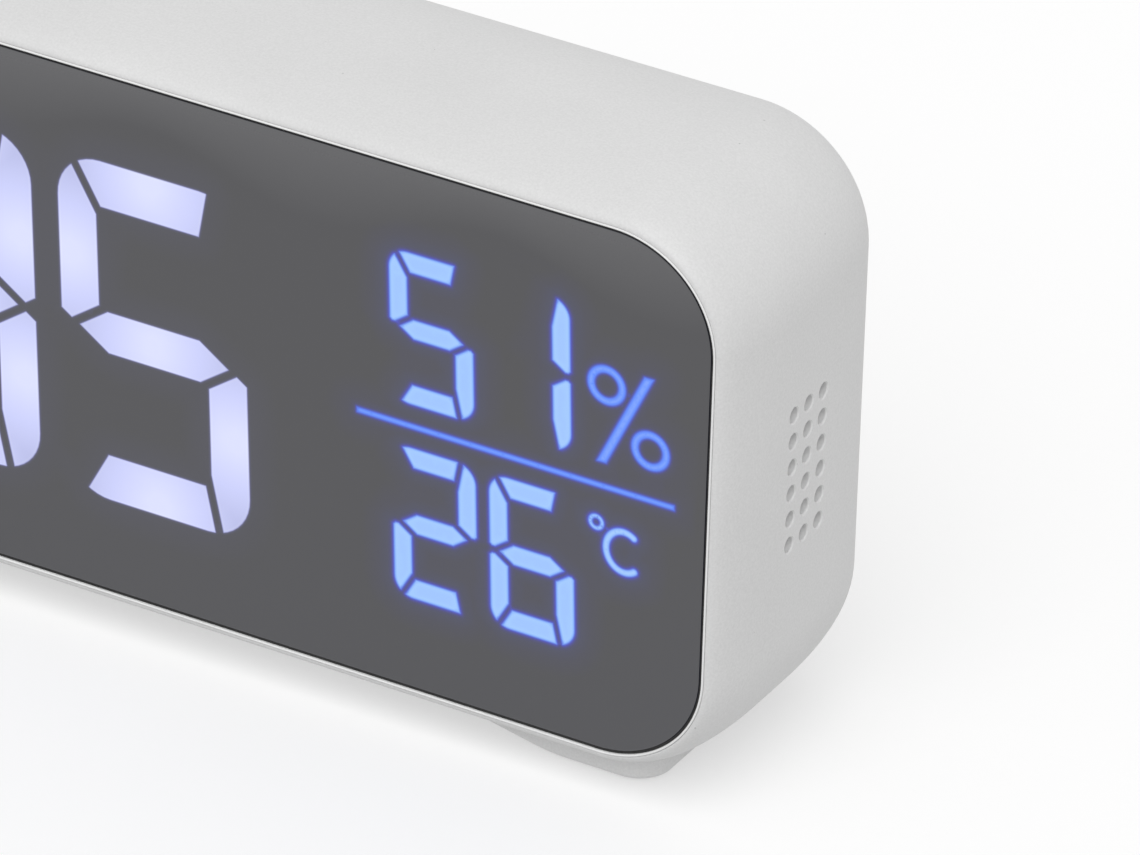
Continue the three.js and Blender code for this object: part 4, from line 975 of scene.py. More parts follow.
def segment_outlines(size):
    """The seven segments of a digit round its own middle, by their usual letters."""
    w, h, post, cut, waist = size["width"] / 2, size["height"] / 2, size["post"], size["cut"], size["waist"]
    bar, half = h - size["bar"], size["middle"] / 2
    rise = MIDDLE_SLOPE * (1 - MIDDLE_CUT) * post
    nip_u, nip_v = size["nip"]
    left_x, left_z = slanted_cut((-w + LEFT_CUT[0] * post, bar), (-w + LEFT_CUT[1] * post, h), cut)
    right_x, right_z = slanted_cut((w - RIGHT_CUT[0] * post, bar), (w - RIGHT_CUT[1] * post, h), cut)
    near_x, near_z = slanted_cut((-w + MIDDLE_CUT * post, 0), (-w + post, rise), cut)
    far_x, far_z = slanted_cut((w - MIDDLE_CUT * post, 0), (w - post, rise), cut)
    top = [(left_x(bar, 1), bar), (right_x(bar, -1), bar), (right_x(h, -1), h), (left_x(h, 1), h)]
    left = [
        (-w, waist + nip_v),
        (min(-w + nip_u, near_x(waist, -1)), waist),
        (near_x(waist, -1) + TIP, waist),
        (-w + post, near_z(-w + post, -1)),
        (-w + post, left_z(-w + post, -1)),
        (left_x(h, -1), h),
        (-w, h),
    ]
    right_side = [
        (w, waist + nip_v),
        (w, h),
        (right_x(h, 1), h),
        (w - post, right_z(w - post, 1)),
        (w - post, far_z(w - post, 1)),
        (far_x(waist, 1) - TIP, waist),
        (max(w - nip_u, far_x(waist, 1)), waist),
    ]
    middle = [
        (near_x(0, 1), 0),
        (near_x(half, 1), -half),
        (far_x(half, -1), -half),
        (far_x(0, -1), 0),
        (far_x(half, -1), half),
        (near_x(half, 1), half),
    ]
    below = {letter: [(x, -z) for x, z in reversed(outline)]
             for letter, outline in (("c", right_side), ("d", top), ("e", left))}
    return {"a": top, "b": right_side, "f": left, "g": middle, **below}


def clip(outline, limit):
    """The part of a convex outline inside a convex limit, both counter-clockwise."""
    points = list(outline)
    for (u0, v0), (u1, v1) in zip(limit, limit[1:] + limit[:1]):
        if math.hypot(u1 - u0, v1 - v0) < TINY:
            continue
        sides = [(u1 - u0) * (v - v0) - (v1 - v0) * (u - u0) for u, v in points]
        kept = []
        for i, (p, s) in enumerate(zip(points, sides)):
            q, r = points[i - 1], sides[i - 1]
            if (s >= 0) != (r >= 0):
                t = r / (r - s)
                kept.append((q[0] + (p[0] - q[0]) * t, q[1] + (p[1] - q[1]) * t))
            if s >= 0:
                kept.append(p)
        points = kept
    return points


print("segments", sorted(segment_outlines(DIGIT)))

# %% Rings, ovals and digits
END_STEPS = 8
LIMIT_STEPS = 10


def ring_points(cx, cz, radius, steps=40):
    """A circle."""
    return [(cx + radius * math.cos(t), cz + radius * math.sin(t)) for t in full_turn(steps)]


def open_ring(cx, cz, half_u, half_v, stroke, opening, steps=36):
    """An open oval stroke with round ends, as the letter for degrees Celsius has it."""
    turns = [opening + (2 * math.pi - 2 * opening) * i / steps for i in range(steps + 1)]
    reach = stroke / 2

    def oval(grow):
        return [(cx + (half_u + grow) * math.cos(t), cz + (half_v + grow) * math.sin(t)) for t in turns]

    def round_end(last, first):
        middle = ((last[0] + first[0]) / 2, (last[1] + first[1]) / 2)
        start = math.atan2(last[1] - middle[1], last[0] - middle[0])
        bend = [start + math.pi * i / END_STEPS for i in range(1, END_STEPS)]
        return [(middle[0] + reach * math.cos(t), middle[1] + reach * math.sin(t)) for t in bend]

    outer, inner = oval(reach), oval(-reach)
    return outer + round_end(outer[-1], inner[-1]) + inner[::-1] + round_end(inner[0], outer[0])


def digit_shapes(text, x, z, size, colour):
    """Lit shapes of one digit: each has its loops and its colour."""
    half = (size["width"] / 2, size["height"] / 2)
    limit = rounded_loop(0, 0, *half, size["corner"], LIMIT_STEPS)
    outlines = segment_outlines(size)
    shapes = []
    for letter in SEGMENTS[text]:
        cut = clip(outlines[letter], limit)
        lamp_u, lamp_v = np.mean(cut, axis=0)
        if letter in "bcef":
            lamp_v = math.copysign(POST_LAMP * half[1], lamp_v)
        else:
            lamp_u = 0
        lit = {"loops": [[(x + u, z + v) for u, v in cut]], "colour": colour}
        shapes.append({**lit, "lamp": (x + lamp_u, z + lamp_v)})
    return shapes


def scaled(size, share):
    """A digit's sizes, all larger or smaller by the same share."""
    plain = {name: value * share for name, value in size.items() if name != "nip"}
    return {**plain, "nip": tuple(value * share for value in size["nip"])}


print("an open ring has", len(open_ring(0, 0, 2, 3, 1, 1)), "points")

# %% Draw the time, the humidity and the temperature
def percent_sign():
    """A slash and two rings beside the humidity."""
    x, bottom = PERCENT["slash"]
    top = bottom + PERCENT["height"]
    run, stroke = PERCENT["run"], PERCENT["stroke"]
    slash = [
        (x - (run + stroke) / 2, bottom),
        (x - (run - stroke) / 2, bottom),
        (x + (run + stroke) / 2, top),
        (x + (run - stroke) / 2, top),
    ]
    shapes = [{"loops": [slash], "colour": "sign"}]
    (cx, cz), (across, down) = PERCENT["middle"], PERCENT["apart"]
    for side in (-1, 1):
        loops = [ring_points(cx + side * across, cz - side * down, r) for r in PERCENT["radii"]]
        shapes.append({"loops": loops, "colour": "sign"})
    return shapes


def degree_sign():
    """A small ring and an open oval beside the temperature."""
    (x, z), (left, rise) = DEGREE["middle"], DEGREE["ring"]
    ring = [ring_points(x + left, z + rise, r, DEGREE["ring_steps"]) for r in DEGREE["radii"]]
    letter = open_ring(x, z, *DEGREE["half"], DEGREE["stroke"], DEGREE["opening"])
    return [{"loops": loops, "colour": "blue"} for loops in (ring, [letter])]


def draw_artwork():
    """Every lit shape, upright."""
    first = -panel_half + LEFT_MARGIN
    second = first + DIGIT_PITCH
    third = second + COLON_PITCH
    fourth = third + DIGIT_PITCH
    shapes = []
    for text, x in zip(TIME, (first, second, third, fourth)):
        shapes += digit_shapes(text, x, 0, DIGIT, "white")
    for z in (COLON_RISE, -COLON_RISE):
        dot = ((second + third) / 2, z)
        shapes.append({"loops": [ring_points(*dot, COLON_R)], "colour": "white", "lamp": dot})
    near, far = SMALL_FIRST, SMALL_FIRST + SMALL_PITCH
    for text, x in zip(HUMIDITY, (near, far + ONE_SHIFT)):
        shapes += digit_shapes(text, x, UPPER_ROW, scaled(SMALL, UPPER_SCALE), "blue")
    for text, x in zip(WARMTH, (near, far)):
        shapes += digit_shapes(text, x, LOWER_ROW, SMALL, "blue")
    low, high = DIVIDER_RISE - DIVIDER_T / 2, DIVIDER_RISE + DIVIDER_T / 2
    line = [(DIVIDER[0], low), (DIVIDER[1], low), (DIVIDER[1], high), (DIVIDER[0], high)]
    shapes.append({"loops": [line], "colour": "sign"})
    return shapes + percent_sign() + degree_sign()


artwork = draw_artwork()
for shape in artwork:
    shape["loops"] = [[(x - z * LEAN, z + RISE) for x, z in loop] for loop in shape["loops"]]
    if shape["colour"] == "white":
        shape["lamp"] = (shape["lamp"][0] - shape["lamp"][1] * LEAN, shape["lamp"][1] + RISE)
print("lit shapes", len(artwork))

# %% [markdown]
# ## The half-mirror panel
# The panel is a smoked, coated plate, so light from behind shows with a soft bleed round each edge.
# A painted picture would do it, but this model uses none. Instead the panel's face is triangulated
# along the outlines and along lines at set distances from them, and each vertex stores its distance
# from the nearest lit edge. A colour ramp over that distance then draws the glow.

# %% Distance from the lit edges
GLOW_LINES = (-1.6, -0.9, -0.45, -0.34, -0.22, -0.1, 0.09, 0.2, 0.36, 0.6, 1.1, 2.2, 4.5)
GLOW_STEP = {"white": 1.3, "blue": 0.7, "sign": 0.4}
FAR_AWAY = 9.0
CHUNK = 2000


def edge_table(shapes):
    """Start and end points of every edge of some shapes."""
    ends = [np.array(list(zip(loop, loop[1:] + loop[:1]))) for s in shapes for loop in s["loops"]]
    return np.concatenate(ends)


def lit_distance(points, shapes):
    """Signed distance to the nearest lit edge in millimetres, negative inside a lit shape."""
    points = np.asarray(points, float)
    if not len(points):
        return np.zeros(0)
    ends = edge_table(shapes)
    start, run = ends[:, 0], ends[:, 1] - ends[:, 0]
    length = (run ** 2).sum(1)
    nearest = np.empty(len(points))
    for i in range(0, len(points), CHUNK):
        away = points[i:i + CHUNK, None, :] - start[None]
        share = np.clip((away * run[None]).sum(2) / length[None], 0, 1)
        nearest[i:i + CHUNK] = np.sqrt(((away - share[..., None] * run[None]) ** 2).sum(2).min(1))
    lit = np.zeros(len(points), bool)
    for shape in shapes:
        within = np.zeros(len(points), bool)
        for loop in shape["loops"]:
            within ^= inside(points, loop)
        lit |= within
    return np.where(lit, -nearest, nearest)


print("lit edges", len(edge_table(artwork)))

# %% Points along the glow
CORNER_WAYS = 12
ROUND_LOOP = 16
FIT_SHARE = 0.06
FIT_PLAY = 0.012
THIN_STEP = 0.25
THIN_GROWTH = 0.55


def glow_points(shapes):
    """Points along lines at set distances from the lit edges."""
    ways = [(math.cos(t), math.sin(t)) for t in np.linspace(0, 2 * math.pi, CORNER_WAYS, endpoint=False)]
    spots = []
    for shape in shapes:
        for loop in shape["loops"]:
            fine = np.array(subdivide(loop, GLOW_STEP[shape["colour"]]))
            normals = plan_normals(fine)
            corners = np.array(loop if len(loop) < ROUND_LOOP else []).reshape(-1, 2)
            for line in GLOW_LINES:
                spots += [(line, *p) for p in fine + normals * line]
                spots += [(line, *p) for p in fine - normals * line]
                for way in ways:
                    spots += [(line, *p) for p in corners + abs(line) * np.array(way)]
    spots = np.array(spots)
    distance = lit_distance(spots[:, 1:], shapes)
    fits = np.abs(distance - spots[:, 0]) < FIT_SHARE * np.abs(spots[:, 0]) + FIT_PLAY
    return thin_out(spots[fits])


def thin_out(spots):
    """Leaves out points that crowd together, more so on the lines farther from an edge."""
    kept = []
    for line in GLOW_LINES:
        own = spots[spots[:, 0] == line][:, 1:]
        step = THIN_STEP + THIN_GROWTH * abs(line)
        cells = np.unique(np.round(own / step).astype(int), axis=0, return_index=True)[1]
        kept += [tuple(p) for p in own[np.sort(cells)]]
    return kept


face_spots = glow_points(artwork)
print("glow points", len(face_spots))

# %% [markdown]
# The plate itself has a small ground edge. Its shader is black with a strong clear reflection, as a
# half-mirror coating gives, and it shows the white floor in front of the clock as mid grey. The black
# base is a little lighter towards the bottom: painted light. What the lamps add on top of that is given
# as emission: each target colour less the grey that is there. Far from the lit shapes this emission is
# a faint blue over the whole plate: a painted tint. A large segment is brightest over its lamp, so the
# white also falls off from the middle of a segment. Near its top edge a painted reflection of the
# bright room lightens the base colour as a soft haze with an uneven border.

# %% Colours of the half-mirror
MIRROR_IOR = 1.95
MIRROR_ROUGH = (0.05, 0.09)
MIRROR_GRAIN = 900.0
MIRROR_PATCH = 14.0
MIRROR_GREY = 0.1065
# Far from every lit shape the emission leaves a faint blue glow over the whole plate: a painted tint.
PANEL_FAR_WITH_PAINTED_BLUE = (92, 92, 94)
WHITE_GLOW = (
    (-0.4, (223, 227, 255)),
    (-0.14, (228, 232, 255)),
    (-0.04, (206, 209, 246)),
    (0.05, (132, 133, 165)),
    (0.16, (99, 99, 114)),
    (0.4, (94, 94, 100)),
    (4.5, PANEL_FAR_WITH_PAINTED_BLUE),
)
BLUE_GLOW = (
    (-0.9, (164, 200, 255)),
    (-0.36, (167, 205, 255)),
    (-0.16, (148, 188, 255)),
    (0.0, (108, 134, 232)),
    (0.14, (86, 95, 188)),
    (0.32, (86, 88, 146)),
    (0.55, (90, 91, 118)),
    (0.9, (92, 93, 107)),
    (2.2, (92, 92, 100)),
    (4.5, PANEL_FAR_WITH_PAINTED_BLUE),
)
SIGN_GLOW = (
    (-0.5, (136, 171, 255)),
    (-0.26, (113, 153, 255)),
    (-0.1, (103, 136, 246)),
    (0.05, (92, 108, 204)),
    (0.2, (86, 91, 152)),
    (0.36, (88, 89, 121)),
    (0.6, (91, 91, 107)),
    (1.3, (92, 92, 100)),
    (4.5, PANEL_FAR_WITH_PAINTED_BLUE),
)
LAMP_FALL = (
    (1.5, (1.0, 1.0, 1.0)),
    (3.0, (0.945, 0.95, 1.0)),
    (5.0, (0.875, 0.88, 1.0)),
    (6.5, (0.82, 0.83, 0.985)),
    (8.0, (0.77, 0.78, 0.93)),
    (11.0, (0.655, 0.665, 0.82)),
)
# A painted reflection of the bright room, lightening the base near the top edge.
PAINTED_REFLECTION = grey(0.049)
REFLECTION_DEPTH = 8.3 * MM
REFLECTION_SWAY = 2.7 * MM
REFLECTION_PERIOD = 47.0 * MM
REFLECTION_CREST = 41.0 * MM
# The near-black base colour, lighter towards the bottom: painted light.
SMOKE_AND_PAINTED_LIFT = (grey(0.006), grey(0.001))
PAINTED_LIFT_FADE = (8.0 * MM, 58.0 * MM)


def linear(channel):
    """A displayed channel from 0 to 255 as linear light, by the usual display curve."""
    value = channel / 255
    return value / 12.92 if value <= 0.04045 else ((value + 0.055) / 1.055) ** 2.4


def glow_stops(stops):
    """The displayed colours of a glow as what must be added to the mirror's own grey."""
    return [(distance, [max(0.0, linear(c) - MIRROR_GREY) for c in colour]) for distance, colour in stops]


print("added over a white segment", [round(c, 3) for c in glow_stops(WHITE_GLOW)[0][1]])

# %% Material of the half-mirror
def ramp_over(tree, attribute, stops):
    """A colour over the distance that an attribute stores."""
    low, high = stops[0][0], stops[-1][0]
    stored = add_node(tree, "ShaderNodeAttribute", {"attribute_name": attribute})
    place = spread(tree, stored.outputs["Fac"], 0.0, 1.0, low, high)
    ramp = add_node(tree, "ShaderNodeValToRGB", Fac=place)
    for i, (distance, colour) in enumerate(stops):
        where = (distance - low) / (high - low)
        stop = ramp.color_ramp.elements[i] if i < 2 else ramp.color_ramp.elements.new(where)
        stop.position = where
        stop.color = (*colour, 1)
    return ramp.outputs["Color"]


def top_reflection_mask(tree, along, height):
    """Where the painted reflection lies: a mask that rises towards the panel's top edge, with a wavy lower
    border.
    """
    turn = 2 * math.pi / REFLECTION_PERIOD
    phase = spread(tree, along, -turn * REFLECTION_CREST, turn * (1 - REFLECTION_CREST), 0.0, 1.0)
    phase.node.clamp = False
    wave = calculate(tree, "COSINE", phase)
    border = spread(tree, wave, REFLECTION_DEPTH - REFLECTION_SWAY, REFLECTION_DEPTH + REFLECTION_SWAY, -1.0, 1.0)
    below = spread(tree, height, 1.0, 0.0, panel_hi.z - 1.0, panel_hi.z)
    return spread(tree, calculate(tree, "DIVIDE", below, border), 1.0, 0.0, 0.0, 1.0)


def half_mirror():
    """Smoked half-mirror with lit artwork behind it, and painted light and a painted reflection in its
    base.
    """
    material, tree, shader, place = start_material("half_mirror")
    skin = use_group(tree, MOULDED_GRAIN, place, Grain=MIRROR_GRAIN, Patch=MIRROR_PATCH)
    apart = add_node(tree, "ShaderNodeSeparateXYZ", Vector=place).outputs
    # Painted light in the base: lifted towards the bottom, and a painted reflection near the top.
    base_with_painted_light = mix_colours(tree, spread(tree, apart["Z"], 0.0, 1.0, *PAINTED_LIFT_FADE), *SMOKE_AND_PAINTED_LIFT)
    base_with_painted_light = mix_colours(tree, top_reflection_mask(tree, apart["X"], apart["Z"]), base_with_painted_light, PAINTED_REFLECTION)
    white = ramp_over(tree, "white_mm", glow_stops(WHITE_GLOW))
    glow = mix_colours(tree, 1.0, white, ramp_over(tree, "lamp_mm", LAMP_FALL), "MULTIPLY")
    for attribute, stops in (("blue_mm", BLUE_GLOW), ("sign_mm", SIGN_GLOW)):
        glow = mix_colours(tree, 1.0, glow, ramp_over(tree, attribute, glow_stops(stops)), "LIGHTEN")
    shine = spread(tree, skin["Tone"], *MIRROR_ROUGH)
    set_inputs(tree, shader, Base_Color=base_with_painted_light, IOR=MIRROR_IOR, Roughness=shine)
    set_inputs(tree, shader, Emission_Color=glow, Emission_Strength=1.0)
    return material


HALF_MIRROR = half_mirror()
print(HALF_MIRROR.name, "has", len(HALF_MIRROR.node_tree.nodes), "nodes")

# %% Build the panel
PANEL_EDGE = 0.22 * MM
PANEL_CHAMFER = 0.3 * PANEL_EDGE
PANEL_STEPS = 28


def panel_loop(inset):
    """The panel's outline, drawn in a little."""
    half_x, half_z, radius = PANEL_HALF_X - inset, PANEL_HALF_Z - inset, PANEL_R - inset
    return rounded_loop(0, MID_Z, half_x, half_z, radius, PANEL_STEPS)


def on_face(point):
    """A point of the artwork, in metres on the panel."""
    return (point[0] * MM, MID_Z + point[1] * MM)


def lit_lines():
    """The outlines of the lit shapes on the panel, in short steps."""
    for shape in artwork:
        for loop in shape["loops"]:
            yield [on_face(p) for p in subdivide(loop, GLOW_STEP[shape["colour"]])]


bm = bmesh.new()
rims = [panel_loop(PANEL_EDGE), panel_loop(PANEL_EDGE + SUPPORT)]
flat_cap(bm, FACE_Y, [*rims, *lit_lines()], extra=[on_face(p) for p in face_spots])
stack(bm, [
    at_depth(panel_loop(PANEL_EDGE), FACE_Y),
    at_depth(panel_loop(PANEL_CHAMFER), FACE_Y + PANEL_CHAMFER),
    at_depth(panel_loop(0), FACE_Y + PANEL_EDGE),
    at_depth(panel_loop(0), FACE_Y + PANEL_T),
])
flat_cap(bm, FACE_Y + PANEL_T, [panel_loop(0)])
mirror_panel = piece_from(bm, "mirror_panel", HALF_MIRROR)
print("panel", len(mirror_panel.data.vertices), "vertices")

# %% Store the distances on the panel
def store(name, values):
    """Stores one number for each vertex of the panel."""
    stored = mirror_panel.data.attributes.new(name, "FLOAT", "POINT")
    stored.data.foreach_set("value", values.astype(np.float32))


spots = np.array([v.co for v in mirror_panel.data.vertices])
flat = np.stack([spots[:, 0] / MM, (spots[:, 2] - MID_Z) / MM], axis=1)
front = np.abs(spots[:, 1] - FACE_Y) < WELD
for colour in ("white", "blue", "sign"):
    shapes = [shape for shape in artwork if shape["colour"] == colour]
    store(f"{colour}_mm", np.where(front, lit_distance(flat, shapes), FAR_AWAY))
lamps = np.array([shape["lamp"] for shape in artwork if shape["colour"] == "white"])
store("lamp_mm", np.linalg.norm(flat[:, None, :] - lamps[None], axis=2).min(1))
dress(mirror_panel, "housing", "smoked_mirror", "front_panel")

# %% [markdown]
# A black ring fills the narrow gap between the panel and the case, a little below the face. It is
# painted shade: a dark piece that stands for the shade inside the gap, the dark line all round the panel.

# %% Build the black ring of painted shade round the panel
SHADE_RING_DEPTH = 0.14 * MM
SHADE_RING_PLAY = 0.01 * MM
bm = bmesh.new()
inner, outer = panel_loop(-SHADE_RING_PLAY), panel_loop(SHADE_RING_PLAY - PANEL_GAP)
ends = (FACE_Y + SHADE_RING_DEPTH, FACE_Y + PANEL_T)
for y in ends:
    band(bm, at_depth(inner, y), at_depth(outer, y))
for loop in (inner, outer):
    band(bm, at_depth(loop, ends[0]), at_depth(loop, ends[1]))
# Painted shade in the gap, with the black foam finish.
edge_seal = piece_from(bm, "edge_seal", FOAM_BLACK)
dress(edge_seal, "housing", "black_foam")

# %% [markdown]
# ## The rear cover
# The cover is a plate that drops into the case's rear opening, with a tray for three cells, four deep
# cups for screws, five holes for keys, four sound slots and the hole of the charging inlet. It could be
# cut out of a block with booleans, but every hole here is a rounded rectangle or a circle, so each is
# a short stack of loops with a softened edge, and two caps with holes close the plate.

# %% Measure the back
COVER_T = 2.0 * MM
COVER_EDGE = 0.35 * MM
HOLE_EDGE = 0.2 * MM
SEAT_DEPTH = 3.4 * MM
CUP_FLOOR = 1.6 * MM
CUP_WALL = 1.5 * MM
SCREW_HEAD_R = 2.4 * MM
PILOT_R = 1.4 * MM
BAY_SEAT = 1.2 * MM
TRAY_WALL = 2.5 * MM
TRAY_FLOOR = 1.5 * MM
DOOR_T = 1.8 * MM
TAB_REACH = 1.8 * MM
TAB_W = 6.0 * MM
TAB_X = 16.0 * MM
DOOR_R = 1.2 * MM
KEY_HALF = (5.0 * MM, 2.5 * MM)
SLOT_HALF = (4.5 * MM, 0.6 * MM)
SLOT_PITCH = 2.4 * MM
SLOT_COUNT = 4
KEYS = ("mode", "set", "up", "down", "alarm")

BACK_Y = cover_hi.y
INNER_Y = BACK_Y - COVER_T
HINGE_Y = BACK_Y - DOOR_T / 2
DOOR_BOTTOM = door_lo.z + TAB_REACH
HINGE_Z = DOOR_BOTTOM + DOOR_T / 2
DOOR_MID = (DOOR_BOTTOM + door_hi.z) / 2
DOOR_HALF = (door_hi.x, (door_hi.z - DOOR_BOTTOM) / 2)
TRAY_BACK = cover_lo.y
print("back at", round(BACK_Y, 5), "hinge at", round(HINGE_Y, 5), round(HINGE_Z, 5))

# %% Loops of holes and rims
UNSPLIT = 1.0


def hole_loop(hole, grow=0.0, steps=8):
    """The outline of a rounded hole, made larger or smaller."""
    cx, cz, half_x, half_z, radius = hole
    return subdivide(rounded_loop(cx, cz, half_x + grow, half_z + grow, radius + grow, steps), UNSPLIT)


def ring_at(hole, y, grow=0.0, steps=8):
    """The outline of a rounded hole at one depth."""
    return at_depth(hole_loop(hole, grow, steps), y)


def rings_at(*levels):
    """The outlines of several holes, each at its own depth."""
    return [ring_at(hole, y) for hole, y in levels]


def soft_rim(hole, y, size, rounds=4, steps=8, way=-1):
    """Outlines over a softened edge, from the face at one depth down to the wall."""
    return [ring_at(hole, y - sink, way * inset, steps) for inset, sink in round_edge(size, rounds)]


def round_hole(x, z, radius):
    """A circle, as a rounded rectangle without straight sides."""
    return (x, z, radius, radius, radius)


print("a round hole has", len(hole_loop(round_hole(0, 0, 1))), "points")

# %% List the openings of the cover
BAY_R = 0.8 * MM


def middle_of(node):
    """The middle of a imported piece's box."""
    low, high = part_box(node)
    return (low + high) / 2


def centred(count, pitch):
    """Places of a row of some things at a pitch, round its middle."""
    return [(i - (count - 1) / 2) * pitch for i in range(count)]


key_spots = [middle_of(f"{name}_key") for name in KEYS]
screw_spots = [middle_of(f"cover_screw_{i}") for i in range(1, 5)]
inlet_lo, inlet_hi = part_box("usb_socket")
inlet = middle_of("usb_socket")
sound = middle_of("buzzer")
inlet_half = ((inlet_hi.x - inlet_lo.x) / 2, (inlet_hi.z - inlet_lo.z) / 2)

key_holes = [(p.x, p.z, KEY_HALF[0] + CLEARANCE, KEY_HALF[1] + CLEARANCE, KEY_HALF[1] + CLEARANCE)
             for p in key_spots]
inlet_hole = (inlet.x, inlet.z, *(half + CLEARANCE for half in inlet_half), inlet_half[1] + CLEARANCE)
slot_rises = centred(SLOT_COUNT, SLOT_PITCH)
slots = [(sound.x, sound.z + rise, *SLOT_HALF, SLOT_HALF[1]) for rise in slot_rises]
screw_holes = [round_hole(p.x, p.z, SCREW_HEAD_R + CLEARANCE) for p in screw_spots]
door_hole = (0, DOOR_MID, *(half + CLEARANCE for half in DOOR_HALF), DOOR_R + CLEARANCE)
bay = (0, DOOR_MID, *(half - BAY_SEAT for half in DOOR_HALF), BAY_R)
tray = (0, DOOR_MID, bay[2] + TRAY_WALL, bay[3] + TRAY_WALL, TRAY_WALL)
plate = (0, MID_Z, PANEL_HALF_X, PANEL_HALF_Z, PANEL_R)
print("openings", len(key_holes) + len(slots) + len(screw_holes) + 2)

# %% Build the cover
HOLE_ROUNDS = 3


def mouth(hole):
    """Outlines over the softened edge of a hole at the back face."""
    return soft_rim(hole, BACK_Y, HOLE_EDGE, HOLE_ROUNDS, way=1)


def cover_mesh():
    """The plate with its holes, cups and tray."""
    bm = bmesh.new()
    through = [*key_holes, inlet_hole, *slots]
    openings = [*through, *screw_holes, door_hole]
    rim = soft_rim(plate, BACK_Y, COVER_EDGE, steps=PANEL_STEPS)
    stack(bm, [*rim, ring_at(plate, INNER_Y, 0, PANEL_STEPS)])
    rims = [hole_loop(plate, -COVER_EDGE - inset, PANEL_STEPS) for inset in (0, SUPPORT)]
    rims += [hole_loop(hole, HOLE_EDGE + SUPPORT) for hole in openings]
    flat_cap(bm, BACK_Y, rims, [hole_loop(hole, HOLE_EDGE) for hole in openings])
    for hole in through:
        stack(bm, [*mouth(hole), ring_at(hole, INNER_Y)])
    cups = []
    seat, end = BACK_Y - SEAT_DEPTH, BACK_Y - SEAT_DEPTH - CUP_FLOOR
    for hole in screw_holes:
        x, z, radius = hole[:3]
        pilot, cup = round_hole(x, z, PILOT_R), round_hole(x, z, radius + CUP_WALL)
        cups.append(cup)
        levels = rings_at((hole, seat), (pilot, seat), (pilot, end), (cup, end), (cup, INNER_Y))
        stack(bm, [*mouth(hole), *levels])
    seat, floor_y = BACK_Y - DOOR_T - CLEARANCE, TRAY_BACK + TRAY_FLOOR
    stack(bm, [*mouth(door_hole), *rings_at((door_hole, seat), (bay, seat), (bay, floor_y))])
    flat_cap(bm, floor_y, [hole_loop(bay)])
    stack(bm, rings_at((tray, INNER_Y), (tray, TRAY_BACK)))
    flat_cap(bm, TRAY_BACK, [hole_loop(tray)])
    inner_holes = [hole_loop(hole) for hole in (*through, *cups, tray)]
    flat_cap(bm, INNER_Y, [hole_loop(plate, 0, PANEL_STEPS)], inner_holes)
    return bm


back_cover = piece_from(cover_mesh(), "back_cover", CASE_WHITE)
print("cover faces", len(back_cover.data.polygons), "open", count_open_edges(back_cover.data))

# %% [markdown]
# The door's two tabs reach under the cover's lower edge, so the tray's lower wall has two slots. They
# are cut with a boolean, because a slot across a wall would break the simple stacks of loops.

# %% Cut the slots for the door's tabs
TAB_T = 1.2 * MM
TAB_HEADROOM = 4 * CLEARANCE
TAB_BACK_Y = INNER_Y - CLEARANCE - TAB_T
TAB_SWING = math.hypot(HINGE_Y - TAB_BACK_Y, HINGE_Z - door_lo.z)


def add_block(bm, low, high):
    """A plain block between two corners."""
    size = Vector(high) - Vector(low)
    place = Matrix.Translation((Vector(low) + Vector(high)) / 2) @ Matrix.Diagonal((*size, 1))
    bmesh.ops.create_cube(bm, size=1.0, matrix=place)


def cut_with(obj, bm):
    """Takes a tool away from an object for good."""
    tool = piece_from(bm, "cutting_tool")
    modifier = obj.modifiers.new("cut", "BOOLEAN")
    modifier.operation = "DIFFERENCE"
    modifier.solver = "EXACT"
    modifier.object = tool
    keep_result(obj)
    bpy.data.objects.remove(tool)
    shade(obj.data)


bm = bmesh.new()
bay_bottom = DOOR_MID - bay[3]
for side in (-1, 1):
    half = TAB_W / 2 + CLEARANCE
    low = (side * TAB_X - half, HINGE_Y - TAB_SWING - CLEARANCE, bay_bottom - TRAY_WALL - CLEARANCE)
    high = (side * TAB_X + half, INNER_Y, bay_bottom + TAB_HEADROOM)
    add_block(bm, low, high)
cut_with(back_cover, bm)
dress(back_cover, "housing", "white_plastic", "rear_cover")

# %% [markdown]
# ## The battery door
# The door is a plate whose lower edge is a full round on the hinge line, so that it can turn in its
# opening. Loops at many depths make it: the lower edge follows the round while the other edges are
# only softened. A thumb scoop near the top is a stack of shrinking loops, and small ribs across it are
# set by Geometry Nodes along a line of points.

# %% Levels of the door
DOOR_EDGE = 0.4 * MM
DOOR_LEVELS = 14
DOOR_STEPS = 6
SCOOP_HALF = (7.0 * MM, 3.3 * MM)
SCOOP_DROP = 5.0 * MM
SCOOP_DEPTH = 1.0 * MM
SCOOP_LEVELS = 9
SCOOP_POWER = 5
SCOOP_ROUND = 0.9
SCOOP_LEAST = 0.05 * MM
SCOOP_STEPS = 8
scoop_z = door_hi.z - SCOOP_DROP


def door_level(turn, shrink=0.0):
    """One loop of the door, at an angle round its lower edge, and its depth."""
    y = HINGE_Y + DOOR_T / 2 * math.sin(turn)
    bottom = HINGE_Z - DOOR_T / 2 * math.cos(turn)
    over = min(max(y - (BACK_Y - DOOR_EDGE), 0.0), DOOR_EDGE)
    inset = DOOR_EDGE - math.sqrt(DOOR_EDGE ** 2 - over ** 2)
    top = door_hi.z - inset
    half = (DOOR_HALF[0] - inset - shrink, (top - bottom) / 2 - shrink)
    return rounded_loop(0, (top + bottom) / 2, *half, DOOR_R - inset - shrink, DOOR_STEPS), y


def scoop_level(share):
    """One loop of the thumb scoop, as large as a share of its mouth, and its depth."""
    half = [max(size * share, SCOOP_LEAST) for size in SCOOP_HALF]
    depth = SCOOP_DEPTH * (1 - share ** SCOOP_POWER)
    return rounded_loop(0, scoop_z, *half, SCOOP_ROUND * half[1], SCOOP_STEPS), BACK_Y - depth


print("door from", round(door_level(0)[1], 5), "to", round(door_level(QUARTER)[1], 5))

# %% Build the door
TAB_ROOT = 3.0 * MM
TAB_LAP = DOOR_T / 6


